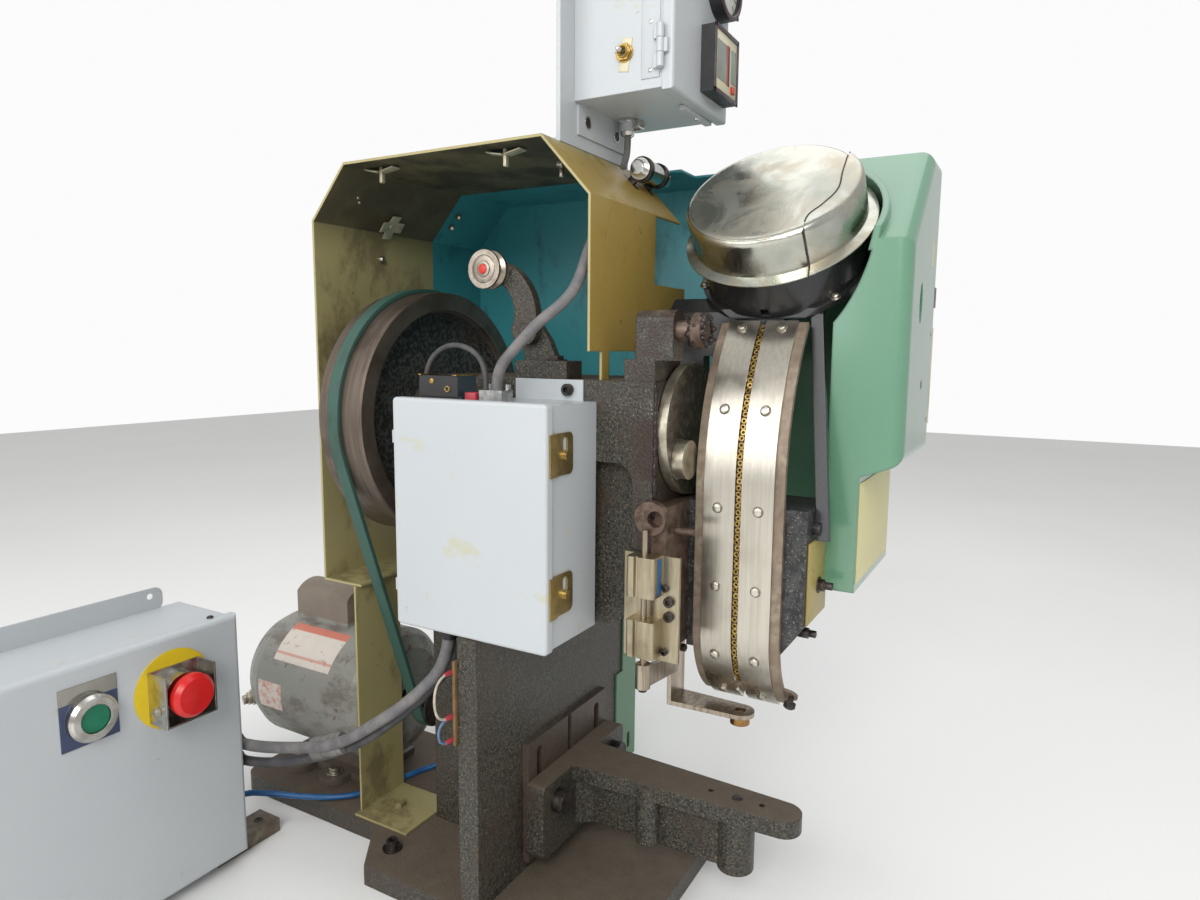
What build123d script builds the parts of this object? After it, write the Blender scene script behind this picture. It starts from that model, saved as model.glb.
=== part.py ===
from build123d import *
from math import cos, pi, radians, sin, sqrt, tan
import os

os.makedirs("parts", exist_ok=True)

# Eyelet punch press on its base plate, with the wired operator station beside it.
# Millimetres. X = 0 is the centre plane of the crank, the ram and the lower arm.
# The machine's front is -Y, the table is Z = 0, and the origin lies between the base bolts.

# Clearances
RUN = 0.05
SLIP = 0.3
SHEET = 3.0

# Base plate
BASE_T = 25.0
BASE_HALF = 183.0
BASE_FRONT = -184.0
BASE_SIDE_END = 158.0
BASE_TAPER_END = 209.0
BASE_REAR_HALF = 115.0
BASE_REAR = 470.0
BASE_CORNER = 20.0
BOLT_X = 141.0
BOLT_Y = 152.0
BASE_BOLT_R = 4.75
BASE_HEAD_R = 7.1
BASE_HEAD_H = 9.5
WASHER_R = 12.0
WASHER_T = 2.5

# Pedestal
PED_HALF = 179.0
PED_FRONT = -14.0
PED_FLANGE = 26.0
PED_TOP = 338.0
PED_WEB_HALF = 60.0
PED_REAR = 150.0
PAD_T = 7.0
PAD_X = (4.0, 93.0)
PAD_Z = (36.0, 186.0)
SLOT_X = 68.0
SLOT_W = 12.0
SLOT_Z = (80.0, 174.0)

# Head of the casting
HEAD_HALF = 76.0
HEAD_FRONT = -170.0
HEAD_REAR = 140.0
HEAD_TOP = 614.0
THROAT_Y = -107.0
THROAT_Z = 340.0
LIP_Y = -132.0
LIP_Z = 351.0
THROAT_R = 22.0
RECESS = 16.0
RECESS_Y = (-144.0, 100.0)
RECESS_TOP = 526.0
RECESS_R = 20.0

# Crank, flywheel and their bearing
CRANK_Z = 560.0
SHAFT_R = 25.0
BUSH_WALL = 4.0
HUB_R = 42.0
HUB_END = 165.0
DISC_R = 73.0
DISC_T = 11.0
DISC_GAP = 1.0
CRANK_THROW = 49.0
CRANK_ANGLE = 217.0
ROLLER_R = 21.0
ROLLER_T = 13.0
WHEEL_R = 158.0
WHEEL_Y = (168.0, 238.0)
WHEEL_RIM = 22.0
WHEEL_WEB = 18.0
WHEEL_HUB_R = 45.0

# Lower arm
ARM_TOP = 140.0
ARM_FLANGE = 20.0
FOOT_HALF = 99.0
FOOT_T = 25.0
FOOT_BOTTOM = 49.0
ARM_ROOT_HALF = 33.0
NOSE_R = 21.0
NOSE_Y = -299.0
ARM_WEB = 12.0
WEB_BOTTOM = 60.0
KNUCKLE_Y = -142.0
KNUCKLE_R = 14.0
KNUCKLE_Z = 65.0
DIE_BOSS_Z = 57.0
ARM_BOLT_Z = 113.0
ARM_BOLT_R = 5.5
ARM_HEAD_R = 14.0
ARM_HEAD_H = 14.0
NUT_R = 14.0
NUT_T = 10.0
CLAMP_HOLE_R = 3.3
CLAMP_HOLE_Y = (-214.0, -275.0)
CLAMP_HOLE_DEPTH = 18.0

# Punch line
PUNCH_Y = -246.0
DIE_R = 6.0
DIE_LOW = 100.0
DIE_TOP = 141.5

# Gib plate and spindle block
GIB_HALF = 80.0
GIB_T = 17.0
GIB_Z = (324.0, 484.0)
EAR_Z = 473.0
EAR_R = 18.0
EAR_HOLE_R = 8.6
EAR_T = 10.0
STOP_X = -63.0
STOP_Z = 458.0
STOP_R = 3.5
STOP_LENGTH = 24.0
BLOCK_X1 = 64.0
BLOCK_FRONT = -318.0
BLOCK_Z = (318.0, 484.0)
BLOCK_CHAMFER = 42.0
RAM_R = 9.0
RAM_Z = (432.0, 520.0)
NEEDLE_R = 2.6
NEEDLE_TIP = 322.0
NEEDLE_WAY_R = 6.5
NEEDLE_WAY_Z = (226.0, 334.0)

# Raceway
TRACK_X = -29.5
UPPER_C = (247.4, 500.0)
UPPER_R = 276.9
UPPER_END = 139.5
LOWER_C = (80.5, 345.0)
LOWER_R = 110.0
LOWER_END = 236.6
COVER_T = 3.0
BACK_T = 6.0
RACE_HALF = 49.0
COVER_HALF = 38.8
TRACK_GAP = 3.5
TRACK_DEPTH = 3.0
RACE_SCREW_Y = 22.5
RACE_SCREW_Z = (672.0, 585.0, 480.0, 394.0, 316.0, 266.0)
SCREW_R = 4.9
SCREW_H = 3.2
PIVOT_X = 48.5
PIVOT_Z = 665.5
PIVOT_R = 3.5
LUG_R = 7.0
LUG_HALF = 10.5
TAB_R = 13.0
TAB_T = 3.0
TAB_ANGLE = 225.0
THUMB_R = 6.5

# Hopper, measured from the centre of its lid along its own tilted axis
LID_C = (42.0, PUNCH_Y, 822.0)
HOP_TILT = 41.84
HOP_AXIS = (-sin(radians(HOP_TILT)), 0.0, cos(radians(HOP_TILT)))
LID_R = 97.5
LID_EDGE = 9.0
LID_SKIRT = 45.0
LIP_R = 107.8
LIP_DROP = 3.3
LID_T = 1.5
LID_NEST = 2.3
SEAM = ((66.0, -73.0), (21.0, -74.0), (-14.0, -76.0), (-40.0, -66.0), (-60.0, -55.0), (-90.0, -56.0))
BOWL_R = 92.0
BOWL_WALL = 3.0
BOWL_RIM = 4.2
BOWL_LOW = 104.0
HOLDER_R = 98.0
HOLDER_T = 4.0
FLANGE_R = 45.0
FLANGE_T = 10.0
ROTOR_R = 80.0
ROTOR_DROP = 92.0
ROTOR_T = 6.0
ROTOR_HUB_R = 8.0
BEAM_X = (57.0, 76.0)
BEAM_Y = (-262.0, -122.0)
BEAM_BOTTOM = 640.0
CLEVIS_T = 5.0

# Guard over the feed side, far cover and hood
FAR_X = 240.0
GUARD_X = 50.0
GUARD_FRONT = -395.0
GUARD_EDGE = -318.0
GUARD_STEP_Y = -353.0
GUARD_STEP_Z = 513.0
GUARD_STEP_RISE = 16.0
GUARD_LOW = 385.0
SLOPE_Z = 763.0
SLOPE_X = 167.0
COVER_TOP = 870.0
GUARD_ROUND = 16.0
GUARD_SEAM = -150.0
RING_R = (112.0, 119.0)
RING_DROP = (40.0, 58.0)
BAR_Z = (450.0, 700.0)
BAR_ENDS = ((6.0, -329.0), (60.0, -298.0))
BAR_W = 13.0
BAR_T = 8.0
HOOD_X = (-100.0, 123.0)
HOOD_REAR = 303.0
HOOD_FRONT = -105.0
HOOD_SHOULDER_Z = 805.0
HOOD_REAR_TOP = 245.0
HOOD_FRONT_TOP = -45.0
HOOD_BOTTOM = 645.0
LEDGE_Z = 338.0
LEDGE_Y = 236.0
PANEL_STEP_Z = 724.0
PANEL_FAR = (53.0, 141.0)
FAR_BOTTOM = 460.0
LEG_X = (-74.0, -58.0)
STRUT_X = (-103.0, -23.0)
STRUT_Y = 243.0
STRUT_FOOT = 155.0
LOWER_COVER_X = 193.0
LOWER_COVER_Z = (47.0, 340.0)
LOWER_COVER_STEP = 188.0
LOWER_COVER_EDGE = (134.0, 152.0)
LOWER_COVER_T = 2.5
LOWER_COVER_REAR = 150.0

# Brackets on the head
FRONT_BRACKET_X = (-76.0, -12.0)
FRONT_BRACKET_Z = 637.0
BOSS_X = (-76.0, -48.0)
BOSS_Y = (-189.0, -146.0)
BOSS_TOP = 688.0
FEED_Z = 667.0
FEED_R = 10.0
COLLAR_R = 18.0
COLLAR_Y = (-219.0, -208.0)
REAR_FOOT_Y = (-62.0, 7.0)
REAR_FOOT_X = (-76.0, -44.0)
LEVER_Y = 2.0
LEVER_Z = 668.0
LEVER_T = 12.0
LEVER_HUB_R = 17.0
IDLER_Y = 46.0
IDLER_Z = 736.5
IDLER_R = 22.0
IDLER_T = 16.0
IDLER_PIN_R = 5.0

# Work probe beside the head: cylinder, guide rod, foot and ring
CYL_PLATE_Y = (-205.0, -141.0)
CYL_PLATE_Z = (320.0, 434.0)
CYL_PLATE_T = 4.0
CYL_X = -106.0
CYL_Y = (-186.0, -154.0)
CYL_BLOCKS = ((392.0, 435.0), (327.0, 367.0))
ROD_X = -95.0
ROD_Y = -170.0
ROD_R = 3.3
ROD_TOP = 462.0
ROD_END_Z = (291.0, 318.0)
ROD_END_R = 8.0
LINK_Z = (283.0, 305.0)
LINK_T = 7.0
LINK_X1 = -24.0
PROBE_HALF = 19.0
PROBE_T = 5.0
PROBE_LEG_Y = -169.0
PROBE_TOP = 318.0
PROBE_FOOT_Z = 241.0
PROBE_TIP_R = 16.0
RING_BUSH_R = 11.0
RING_BUSH_H = 10.0
RING_BORE_R = 6.5

# Junction box on the near side
BOX_X = (-167.0, -76.0)
BOX_Y = (-100.0, 95.0)
BOX_Z = (342.0, 591.0)
BOX_WALL = 2.0
DOOR_FACE = -179.0
DOOR_LAP = 3.0
EAR_PLATE_Y = (-84.0, 5.0)
EAR_PLATE_TOP = 614.0
EAR_PLATE_T = 2.0
CLAMP_Z = (375.0, 520.5)
CLAMP_H = 43.0
CLAMP_BEND = 19.0
CLAMP_W = 52.0
CLAMP_T = 1.6
DOOR_CORNER = 5.0
HINGE_R = 4.0
HINGE_PIN_R = 1.8
KNUCKLE = 14.0

# Motor and belt drive
MOTOR_Z = 147.0
MOTOR_R = 95.0
MOTOR_Y = (255.0, 517.0)
MOTOR_SEAM_Y = 463.0
MOTOR_BELL = 6.0
MOTOR_SHAFT_R = 8.0
PULLEY_R = 25.0
PULLEY_RIM = 29.0
PULLEY_HUB_R = 18.0
PULLEY_Y = (196.0, 220.0)
BELT_W = 17.0
BELT_T = 5.0
BELT_Y = 208.0
CAP_X = 6.0
CAP_HALF = 30.0
CAP_Y = (345.0, 451.0)
CAP_TOP = 293.0
CAP_CROWN = 14.0
MOUNT_HALF = 84.0
MOUNT_Y = (292.0, 440.0)
MOUNT_T = 10.0
MOUNT_SADDLE = 34.0
MOUNT_PLATE = 52.0
MOUNT_LUG_Y = (340.0, 410.0)
MOUNT_LUG_R = 22.0
MOUNT_HOLE_R = 5.5

# Control box on its post
POST_X = (-65.0, 92.0)
POST_Y = (-46.0, -41.0)
POST_TOP = 1128.0
CONTROL_X = (-36.0, 115.0)
CONTROL_Y = (-152.0, -46.0)
CONTROL_Z = (918.0, 1121.0)
CONTROL_DOOR = 13.0
CONTROL_HINGE_X = -41.5
TIMER_X = (35.0, 105.0)
TIMER_Z = (930.0, 1000.0)
TIMER_T = 16.0
GAUGE_X = 82.0
GAUGE_Z = 1054.0
GAUGE_R = 36.0
TOGGLE_Y = -108.0
TOGGLE_Z = 958.0
TOGGLE_R = 2.6
TOGGLE_BALL_R = 3.5
TOGGLE_L = 19.0
PIG_GLAND = (57.0, -64.0)
PIG_GLAND_R = 10.0
PIG_GLAND_H = 14.0

# Operator station
STATION_X = (-527.0, -222.0)
STATION_Y = (317.0, 430.0)
STATION_Z = (15.0, 324.0)
STATION_DOOR = 14.0
STATION_WALL = 2.0
START_X = -399.0
START_Z = 266.0
STOP_BUTTON_X = -308.0
STOP_BUTTON_Z = 262.0
STATION_BAR_Y = (338.0, 378.0)
STATION_BAR_OUT = 62.0
ELBOW_X = -212.0
ELBOW_Y = 352.0
ELBOW_R = 10.0
MAIN_GLAND_Z = 147.0
BRANCH_GLAND_Z = 125.0
TUBE_PORT = (-213.0, 386.0, 50.0)

PUNCH = (0.0, PUNCH_Y)


def save(piece, name):
    """Label a finished piece and write it to a file of its own."""
    piece.part.label = name
    export_step(piece.part, f"parts/{name}.step")


def block(x, y, z, mode=Mode.ADD):
    """A block between pairs of faces."""
    with Locations(((x[0] + x[1]) / 2, (y[0] + y[1]) / 2, (z[0] + z[1]) / 2)):
        Box(x[1] - x[0], y[1] - y[0], z[1] - z[0], mode=mode)


def bar(origin, axis, radius, length, mode=Mode.ADD):
    """A round bar that starts at its origin and runs along its axis."""
    with BuildSketch(Plane(origin=origin, z_dir=axis)) as section:
        Circle(radius)
    extrude(section.sketch, amount=length, mode=mode)


def hexagon(origin, axis, radius, length, mode=Mode.ADD):
    """A hexagonal bar, as for a screw head or a nut."""
    with BuildSketch(Plane(origin=origin, z_dir=axis)) as section:
        RegularPolygon(radius, 6)
    extrude(section.sketch, amount=length, mode=mode)


def prism(plane, outline, amount, mode=Mode.ADD):
    """A straight-sided profile on a plane, pushed out from it."""
    with BuildSketch(plane) as section:
        with BuildLine():
            Polyline(*outline, close=True)
        make_face()
    extrude(section.sketch, amount=amount, mode=mode)


def turned(origin, axis, outline, mode=Mode.ADD, rounding=0.0, corners=()):
    """A turned body: outline is (radius, height) along its axis."""
    along = Vector(*axis).normalized()
    side = Vector(0, 1, 0) if abs(along.Y) < 0.5 else Vector(1, 0, 0)
    with BuildSketch(Plane(origin=origin, x_dir=side, z_dir=side.cross(along))) as profile:
        with BuildLine():
            Polyline(*outline, close=True)
        make_face()
        if corners:
            points = profile.vertices()
            chosen = [min(points, key=lambda p: abs(p.X - c[0]) + abs(p.Y - c[1])) for c in corners]
            fillet(chosen, rounding)
    revolve(profile.sketch, axis=Axis(origin, axis), mode=mode)


def side_plane(x):
    """The Y-Z plane at x."""
    return Plane.YZ.offset(x)


def front_plane(y):
    """The X-Z plane at y, facing the machine's front."""
    return Plane.XZ.offset(-y)


def hopper_point(drop):
    """The point of the hopper's axis that lies below its lid by drop."""
    return tuple(c - drop * a for c, a in zip(LID_C, HOP_AXIS))


def hopper_plane(drop):
    """The plane across the hopper's axis, its local X running up the slope."""
    return Plane(origin=hopper_point(drop), x_dir=(HOP_AXIS[2], 0, -HOP_AXIS[0]), z_dir=HOP_AXIS)


def track_x(z, depth=0.0):
    """Where the raceway's surface lies at a height, depth below its outer face."""
    if z > UPPER_C[1]:
        return UPPER_C[0] - sqrt((UPPER_R - depth) ** 2 - (z - UPPER_C[1]) ** 2)
    if z < LOWER_C[1]:
        return LOWER_C[0] - sqrt((LOWER_R - depth) ** 2 - (LOWER_C[1] - z) ** 2)
    return TRACK_X + depth


def race_sheet(y, amount, outer, inner, mode=Mode.ADD):
    """A strip of the raceway's curve between two depths, pushed out from the plane at y."""
    upper_turn = 180 - UPPER_END
    lower_turn = LOWER_END - 180
    with BuildSketch(front_plane(y)) as section:
        with BuildLine():
            top = CenterArc(UPPER_C, UPPER_R - outer, UPPER_END, upper_turn)
            foot = CenterArc(LOWER_C, LOWER_R - outer, 180, lower_turn)
            Line(top @ 1, foot @ 0)
            back_foot = CenterArc(LOWER_C, LOWER_R - inner, LOWER_END, -lower_turn)
            back_top = CenterArc(UPPER_C, UPPER_R - inner, 180, -upper_turn)
            Line(foot @ 1, back_foot @ 0)
            Line(back_foot @ 1, back_top @ 0)
            Line(back_top @ 1, top @ 0)
        make_face()
    extrude(section.sketch, amount=-amount, mode=mode)


def hinge_halves(x, y, heights, moving):
    """Knuckles of a door hinge on a vertical line; the fixed half carries the pin."""
    for z in heights:
        if moving:
            bar((x, y, z + KNUCKLE + SLIP), (0, 0, 1), HINGE_R, KNUCKLE)
            bar((x, y, z + KNUCKLE), (0, 0, 1), HINGE_PIN_R + RUN, KNUCKLE + 2 * SLIP, Mode.SUBTRACT)
        else:
            bar((x, y, z), (0, 0, 1), HINGE_R, KNUCKLE)
            bar((x, y, z + KNUCKLE), (0, 0, 1), HINGE_PIN_R, KNUCKLE + 2 * SLIP)
            bar((x, y, z + 2 * KNUCKLE + 2 * SLIP), (0, 0, 1), HINGE_R, KNUCKLE)


def cable(route, radius, name):
    """A cable along hand-chosen points: straight runs joined by the largest arcs that fit."""
    points = [Vector(*p) for p in route]
    radii = []
    for before, here, after in zip(points, points[1:], points[2:]):
        run_in = here - before
        run_out = after - here
        turn = radians(run_in.get_angle(run_out))
        shorter = min(run_in.length, run_out.length)
        radii.append(0.45 * shorter / tan(turn / 2))
    with BuildPart() as piece:
        with BuildLine():
            path = FilletPolyline(*route, radius=radii)
        with BuildSketch(Plane(origin=path @ 0, z_dir=path % 0)):
            Circle(radius)
        sweep(path=path)
    ratio = piece.part.volume / (pi * radius ** 2 * path.length)
    print(name, "length", round(path.length), "radii", [round(r) for r in radii], "fill", round(ratio, 3))
    save(piece, name)


# Base plate and its bolts
bolt_places = [(x, y, 0) for x in (-BOLT_X, BOLT_X) for y in (-BOLT_Y, BOLT_Y)]
with BuildPart() as base_plate:
    with BuildSketch():
        with BuildLine():
            Polyline(
                (-BASE_HALF, BASE_FRONT), (BASE_HALF, BASE_FRONT), (BASE_HALF, BASE_SIDE_END),
                (BASE_REAR_HALF, BASE_TAPER_END), (BASE_REAR_HALF, BASE_REAR),
                (-BASE_REAR_HALF, BASE_REAR), (-BASE_REAR_HALF, BASE_TAPER_END),
                (-BASE_HALF, BASE_SIDE_END), close=True)
        make_face()
    extrude(amount=BASE_T)
    fillet(base_plate.edges().filter_by(Axis.Z).group_by(Axis.Y)[-1], BASE_CORNER)
    fillet(base_plate.edges().filter_by(Axis.Z).group_by(Axis.Y)[0], BASE_CORNER / 2)
    with Locations(*bolt_places):
        Cylinder(BASE_BOLT_R + SLIP, 2 * BASE_T, mode=Mode.SUBTRACT)
save(base_plate, "base_plate")

with BuildPart() as base_bolts:
    for x, y, _ in bolt_places:
        bar((x, y, 1), (0, 0, 1), BASE_BOLT_R, BASE_T)
        bar((x, y, BASE_T), (0, 0, 1), WASHER_R, WASHER_T)
        bar((x, y, BASE_T + WASHER_T), (0, 0, 1), BASE_HEAD_R, BASE_HEAD_H)
        hexagon((x, y, BASE_T + WASHER_T + BASE_HEAD_H / 2), (0, 0, 1), 4.0, BASE_HEAD_H, Mode.SUBTRACT)
save(base_bolts, "base_bolts")

# Frame: pedestal, column and head are one casting
with BuildPart() as press_frame:
    block((-PED_HALF, PED_HALF), (PED_FRONT, PED_FRONT + PED_FLANGE), (BASE_T, PED_TOP))
    block((-PED_WEB_HALF, PED_WEB_HALF), (PED_FRONT, PED_REAR), (BASE_T, PED_TOP))
    for side in (-1, 1):
        pad = sorted((side * PAD_X[0], side * PAD_X[1]))
        block(pad, (PED_FRONT - PAD_T, PED_FRONT), PAD_Z)
    prism(side_plane(-HEAD_HALF), [
        (HEAD_FRONT, HEAD_TOP), (HEAD_REAR, HEAD_TOP), (HEAD_REAR, PED_TOP), (PED_FRONT, PED_TOP),
        (THROAT_Y, THROAT_Z), (LIP_Y, LIP_Z), (HEAD_FRONT, LIP_Z + 8)], 2 * HEAD_HALF)
    with BuildSketch(side_plane(-PED_WEB_HALF)):
        with BuildLine():
            corner = Line((PED_FRONT - THROAT_R, PED_TOP + 1), (PED_FRONT + 1, PED_TOP + 1))
            Line(corner @ 1, (PED_FRONT + 1, PED_TOP - THROAT_R))
            Line((PED_FRONT + 1, PED_TOP - THROAT_R), (PED_FRONT, PED_TOP - THROAT_R))
            RadiusArc((PED_FRONT, PED_TOP - THROAT_R), (PED_FRONT - THROAT_R, PED_TOP), -THROAT_R)
            Line((PED_FRONT - THROAT_R, PED_TOP), corner @ 0)
        make_face()
    extrude(amount=2 * PED_WEB_HALF)
    for side in (-1, 1):
        with BuildSketch(side_plane(side * (HEAD_HALF - RECESS))):
            with Locations(((RECESS_Y[0] + RECESS_Y[1]) / 2, (LIP_Z - 40 + RECESS_TOP) / 2)):
                RectangleRounded(RECESS_Y[1] - RECESS_Y[0], RECESS_TOP - LIP_Z + 40, RECESS_R)
        extrude(amount=side * (RECESS + 1), mode=Mode.SUBTRACT)
    block((-PED_HALF, PED_HALF), (PED_FRONT, PED_FRONT + PED_FLANGE), (PED_TOP - 40, PED_TOP))
    bar((0, HEAD_REAR, CRANK_Z), (0, 1, 0), HUB_R, HUB_END - HEAD_REAR)
    bar((0, HEAD_FRONT - 1, CRANK_Z), (0, 1, 0), SHAFT_R + BUSH_WALL, HUB_END - HEAD_FRONT + 2, Mode.SUBTRACT)
    for side in (-1, 1):
        with BuildSketch(front_plane(PED_FRONT - PAD_T - 1)):
            with Locations((side * SLOT_X, (SLOT_Z[0] + SLOT_Z[1]) / 2)):
                SlotOverall(SLOT_Z[1] - SLOT_Z[0], SLOT_W, rotation=90)
        extrude(amount=-(PAD_T + PED_FLANGE + 2), mode=Mode.SUBTRACT)
    for side in (-1, 1):
        pocket = sorted((side * (SLOT_X - NUT_R - 2), side * (SLOT_X + NUT_R + 2)))
        block(pocket, (PED_FRONT + PED_FLANGE, PED_FRONT + PED_FLANGE + NUT_T + 6),
              (SLOT_Z[0] - 4, SLOT_Z[1] + 4), Mode.SUBTRACT)
save(press_frame, "press_frame")

with BuildPart() as crank_bushes:
    bearing = HUB_END - HEAD_FRONT
    for start in (HEAD_FRONT, HUB_END - 80):
        bar((0, start, CRANK_Z), (0, 1, 0), SHAFT_R + BUSH_WALL, 80)
        bar((0, start - 1, CRANK_Z), (0, 1, 0), SHAFT_R + RUN, 82, Mode.SUBTRACT)
save(crank_bushes, "crank_bushes")

# Lower arm, bolted to the slotted pads of the pedestal
pad_face = PED_FRONT - PAD_T
foot_front = pad_face - FOOT_T
with BuildPart() as lower_arm:
    block((-FOOT_HALF, FOOT_HALF), (foot_front, pad_face), (FOOT_BOTTOM, ARM_TOP))
    fillet(lower_arm.edges().filter_by(Axis.Y), 8)
    with BuildSketch(Plane.XY.offset(ARM_TOP - ARM_FLANGE)):
        with BuildLine():
            Polyline(
                (-ARM_ROOT_HALF, foot_front + 5), (ARM_ROOT_HALF, foot_front + 5), (NOSE_R, NOSE_Y),
                (-NOSE_R, NOSE_Y), close=True)
        make_face()
        with Locations((0, NOSE_Y)):
            Circle(NOSE_R)
    extrude(amount=ARM_FLANGE)
    prism(side_plane(-ARM_WEB), [
        (foot_front + 5, ARM_TOP - 5), (NOSE_Y + NOSE_R, ARM_TOP - 5), (PUNCH_Y, WEB_BOTTOM),
        (foot_front - 12, WEB_BOTTOM), (foot_front + 5, FOOT_BOTTOM + 4)], 2 * ARM_WEB)
    for side in (-1, 1):
        bar((side * (ARM_WEB + KNUCKLE_R / 2), KNUCKLE_Y, KNUCKLE_Z), (0, 0, 1), KNUCKLE_R, ARM_TOP - 5 - KNUCKLE_Z)
        prism(Plane.XY.offset(FOOT_BOTTOM + 10), [
            (side * ARM_WEB, foot_front), (side * (ARM_WEB + 14), foot_front), (side * ARM_WEB, foot_front - 18)],
            ARM_TOP - FOOT_BOTTOM - 20)
    bar((0, PUNCH_Y, DIE_BOSS_Z), (0, 0, 1), NOSE_R, ARM_TOP - 5 - DIE_BOSS_Z)
    bar((0, PUNCH_Y, DIE_LOW), (0, 0, 1), DIE_R, ARM_TOP, Mode.SUBTRACT)
    for y in CLAMP_HOLE_Y:
        bar((0, y, ARM_TOP - CLAMP_HOLE_DEPTH), (0, 0, 1), CLAMP_HOLE_R, ARM_TOP, Mode.SUBTRACT)
    for side in (-1, 1):
        bar((side * SLOT_X, pad_face + 1, ARM_BOLT_Z), (0, -1, 0), ARM_BOLT_R + SLIP, FOOT_T + 2, Mode.SUBTRACT)
save(lower_arm, "lower_arm")

with BuildPart() as arm_bolts:
    nut_face = PED_FRONT + PED_FLANGE
    for side in (-1, 1):
        bar((side * SLOT_X, foot_front, ARM_BOLT_Z), (0, -1, 0), ARM_HEAD_R, ARM_HEAD_H)
        bar((side * SLOT_X, foot_front, ARM_BOLT_Z), (0, 1, 0), ARM_BOLT_R, nut_face - foot_front + NUT_T)
        hexagon((side * SLOT_X, nut_face, ARM_BOLT_Z), (0, 1, 0), NUT_R, NUT_T)
save(arm_bolts, "arm_bolts")

with BuildPart() as lower_die:
    turned((0, PUNCH_Y, DIE_LOW), (0, 0, 1), [
        (0, 0), (DIE_R, 0), (DIE_R, DIE_TOP - DIE_LOW - 1), (DIE_R - 1.5, DIE_TOP - DIE_LOW), (2.2, DIE_TOP - DIE_LOW),
        (1.2, DIE_TOP - DIE_LOW - 1.6), (0, DIE_TOP - DIE_LOW - 1.6)])
save(lower_die, "lower_die")

# Crank: shaft and disc are one forging, the roller turns on the crank pin
disc_back = HEAD_FRONT - DISC_GAP
disc_front = disc_back - DISC_T
pin_x = CRANK_THROW * cos(radians(CRANK_ANGLE))
pin_z = CRANK_Z + CRANK_THROW * sin(radians(CRANK_ANGLE))
PIN_R = 8.0
with BuildPart() as crankshaft:
    turned((0, disc_back, CRANK_Z), (0, 1, 0), [
        (0, 0), (SHAFT_R, 0), (SHAFT_R, WHEEL_Y[1] - disc_back), (0, WHEEL_Y[1] - disc_back)])
    bar((0, disc_back, CRANK_Z), (0, -1, 0), DISC_R, DISC_T)
    bar((pin_x, disc_front, pin_z), (0, -1, 0), PIN_R, ROLLER_T)
save(crankshaft, "crankshaft")

with BuildPart() as crank_roller:
    bar((pin_x, disc_front - SLIP, pin_z), (0, -1, 0), ROLLER_R, ROLLER_T - SLIP)
    bar((pin_x, disc_front, pin_z), (0, -1, 0), PIN_R + RUN, ROLLER_T + 2, Mode.SUBTRACT)
save(crank_roller, "crank_roller")

# Flywheel: rim, recessed web and hub
wheel_w = WHEEL_Y[1] - WHEEL_Y[0]
web_low = (wheel_w - WHEEL_WEB) / 2
with BuildPart() as flywheel:
    turned((0, WHEEL_Y[0], CRANK_Z), (0, 1, 0), [
        (SHAFT_R, 4), (WHEEL_HUB_R, 4), (WHEEL_HUB_R, web_low), (WHEEL_R - WHEEL_RIM - 8, web_low),
        (WHEEL_R - WHEEL_RIM, 0), (WHEEL_R - 2, 0), (WHEEL_R, 2), (WHEEL_R, wheel_w - 2), (WHEEL_R - 2, wheel_w),
        (WHEEL_R - WHEEL_RIM, wheel_w), (WHEEL_R - WHEEL_RIM - 8, web_low + WHEEL_WEB),
        (WHEEL_HUB_R, web_low + WHEEL_WEB), (WHEEL_HUB_R, wheel_w), (SHAFT_R, wheel_w)])
save(flywheel, "flywheel")

# Gib plate with its pierced ear and the raceway's stop pin
gib_front = HEAD_FRONT - GIB_T
with BuildPart() as gib_plate:
    block((-GIB_HALF, GIB_HALF), (gib_front, HEAD_FRONT), GIB_Z)
    with BuildSketch(side_plane(-GIB_HALF)):
        with Locations(((gib_front + HEAD_FRONT) / 2 + 6, EAR_Z)):
            Circle(EAR_R)
    extrude(amount=-EAR_T)
    block((-GIB_HALF - 3, -GIB_HALF + 40), (HEAD_FRONT, HEAD_FRONT + 30), (EAR_Z - 30, EAR_Z + 30), Mode.SUBTRACT)
    bar((-GIB_HALF + 2, (gib_front + HEAD_FRONT) / 2, EAR_Z), (-1, 0, 0), EAR_HOLE_R, EAR_T + 3, Mode.SUBTRACT)
    bar((STOP_X, gib_front, STOP_Z), (0, -1, 0), STOP_R, STOP_LENGTH)
save(gib_plate, "gib_plate")

# Spindle block and the ram that slides in it
block_x0 = TRACK_X + COVER_T + BACK_T + SLIP
with BuildPart() as spindle_block:
    prism(side_plane(block_x0), [
        (gib_front, BLOCK_Z[0]), (gib_front, BLOCK_Z[1]), (BLOCK_FRONT, BLOCK_Z[1]),
        (BLOCK_FRONT, BLOCK_Z[0] + BLOCK_CHAMFER), (BLOCK_FRONT + BLOCK_CHAMFER * 0.7, BLOCK_Z[0])],
        BLOCK_X1 - block_x0)
    race_sheet(PUNCH_Y + RACE_HALF + 1, -2 * RACE_HALF - 2, -BACK_T, COVER_T + BACK_T + SLIP, Mode.SUBTRACT)
    bar((*PUNCH, BLOCK_Z[0] - 1), (0, 0, 1), RAM_R + RUN, BLOCK_Z[1] - BLOCK_Z[0] + 2, Mode.SUBTRACT)
save(spindle_block, "spindle_block")

with BuildPart() as ram:
    turned((*PUNCH, NEEDLE_TIP), (0, 0, 1), [
        (0, 0), (NEEDLE_R - 1, 0), (NEEDLE_R, 3), (NEEDLE_R, RAM_Z[0] - NEEDLE_TIP - 12),
        (RAM_R, RAM_Z[0] - NEEDLE_TIP), (RAM_R, RAM_Z[1] - NEEDLE_TIP - 3), (RAM_R - 3, RAM_Z[1] - NEEDLE_TIP),
        (0, RAM_Z[1] - NEEDLE_TIP)])
save(ram, "ram")

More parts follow.
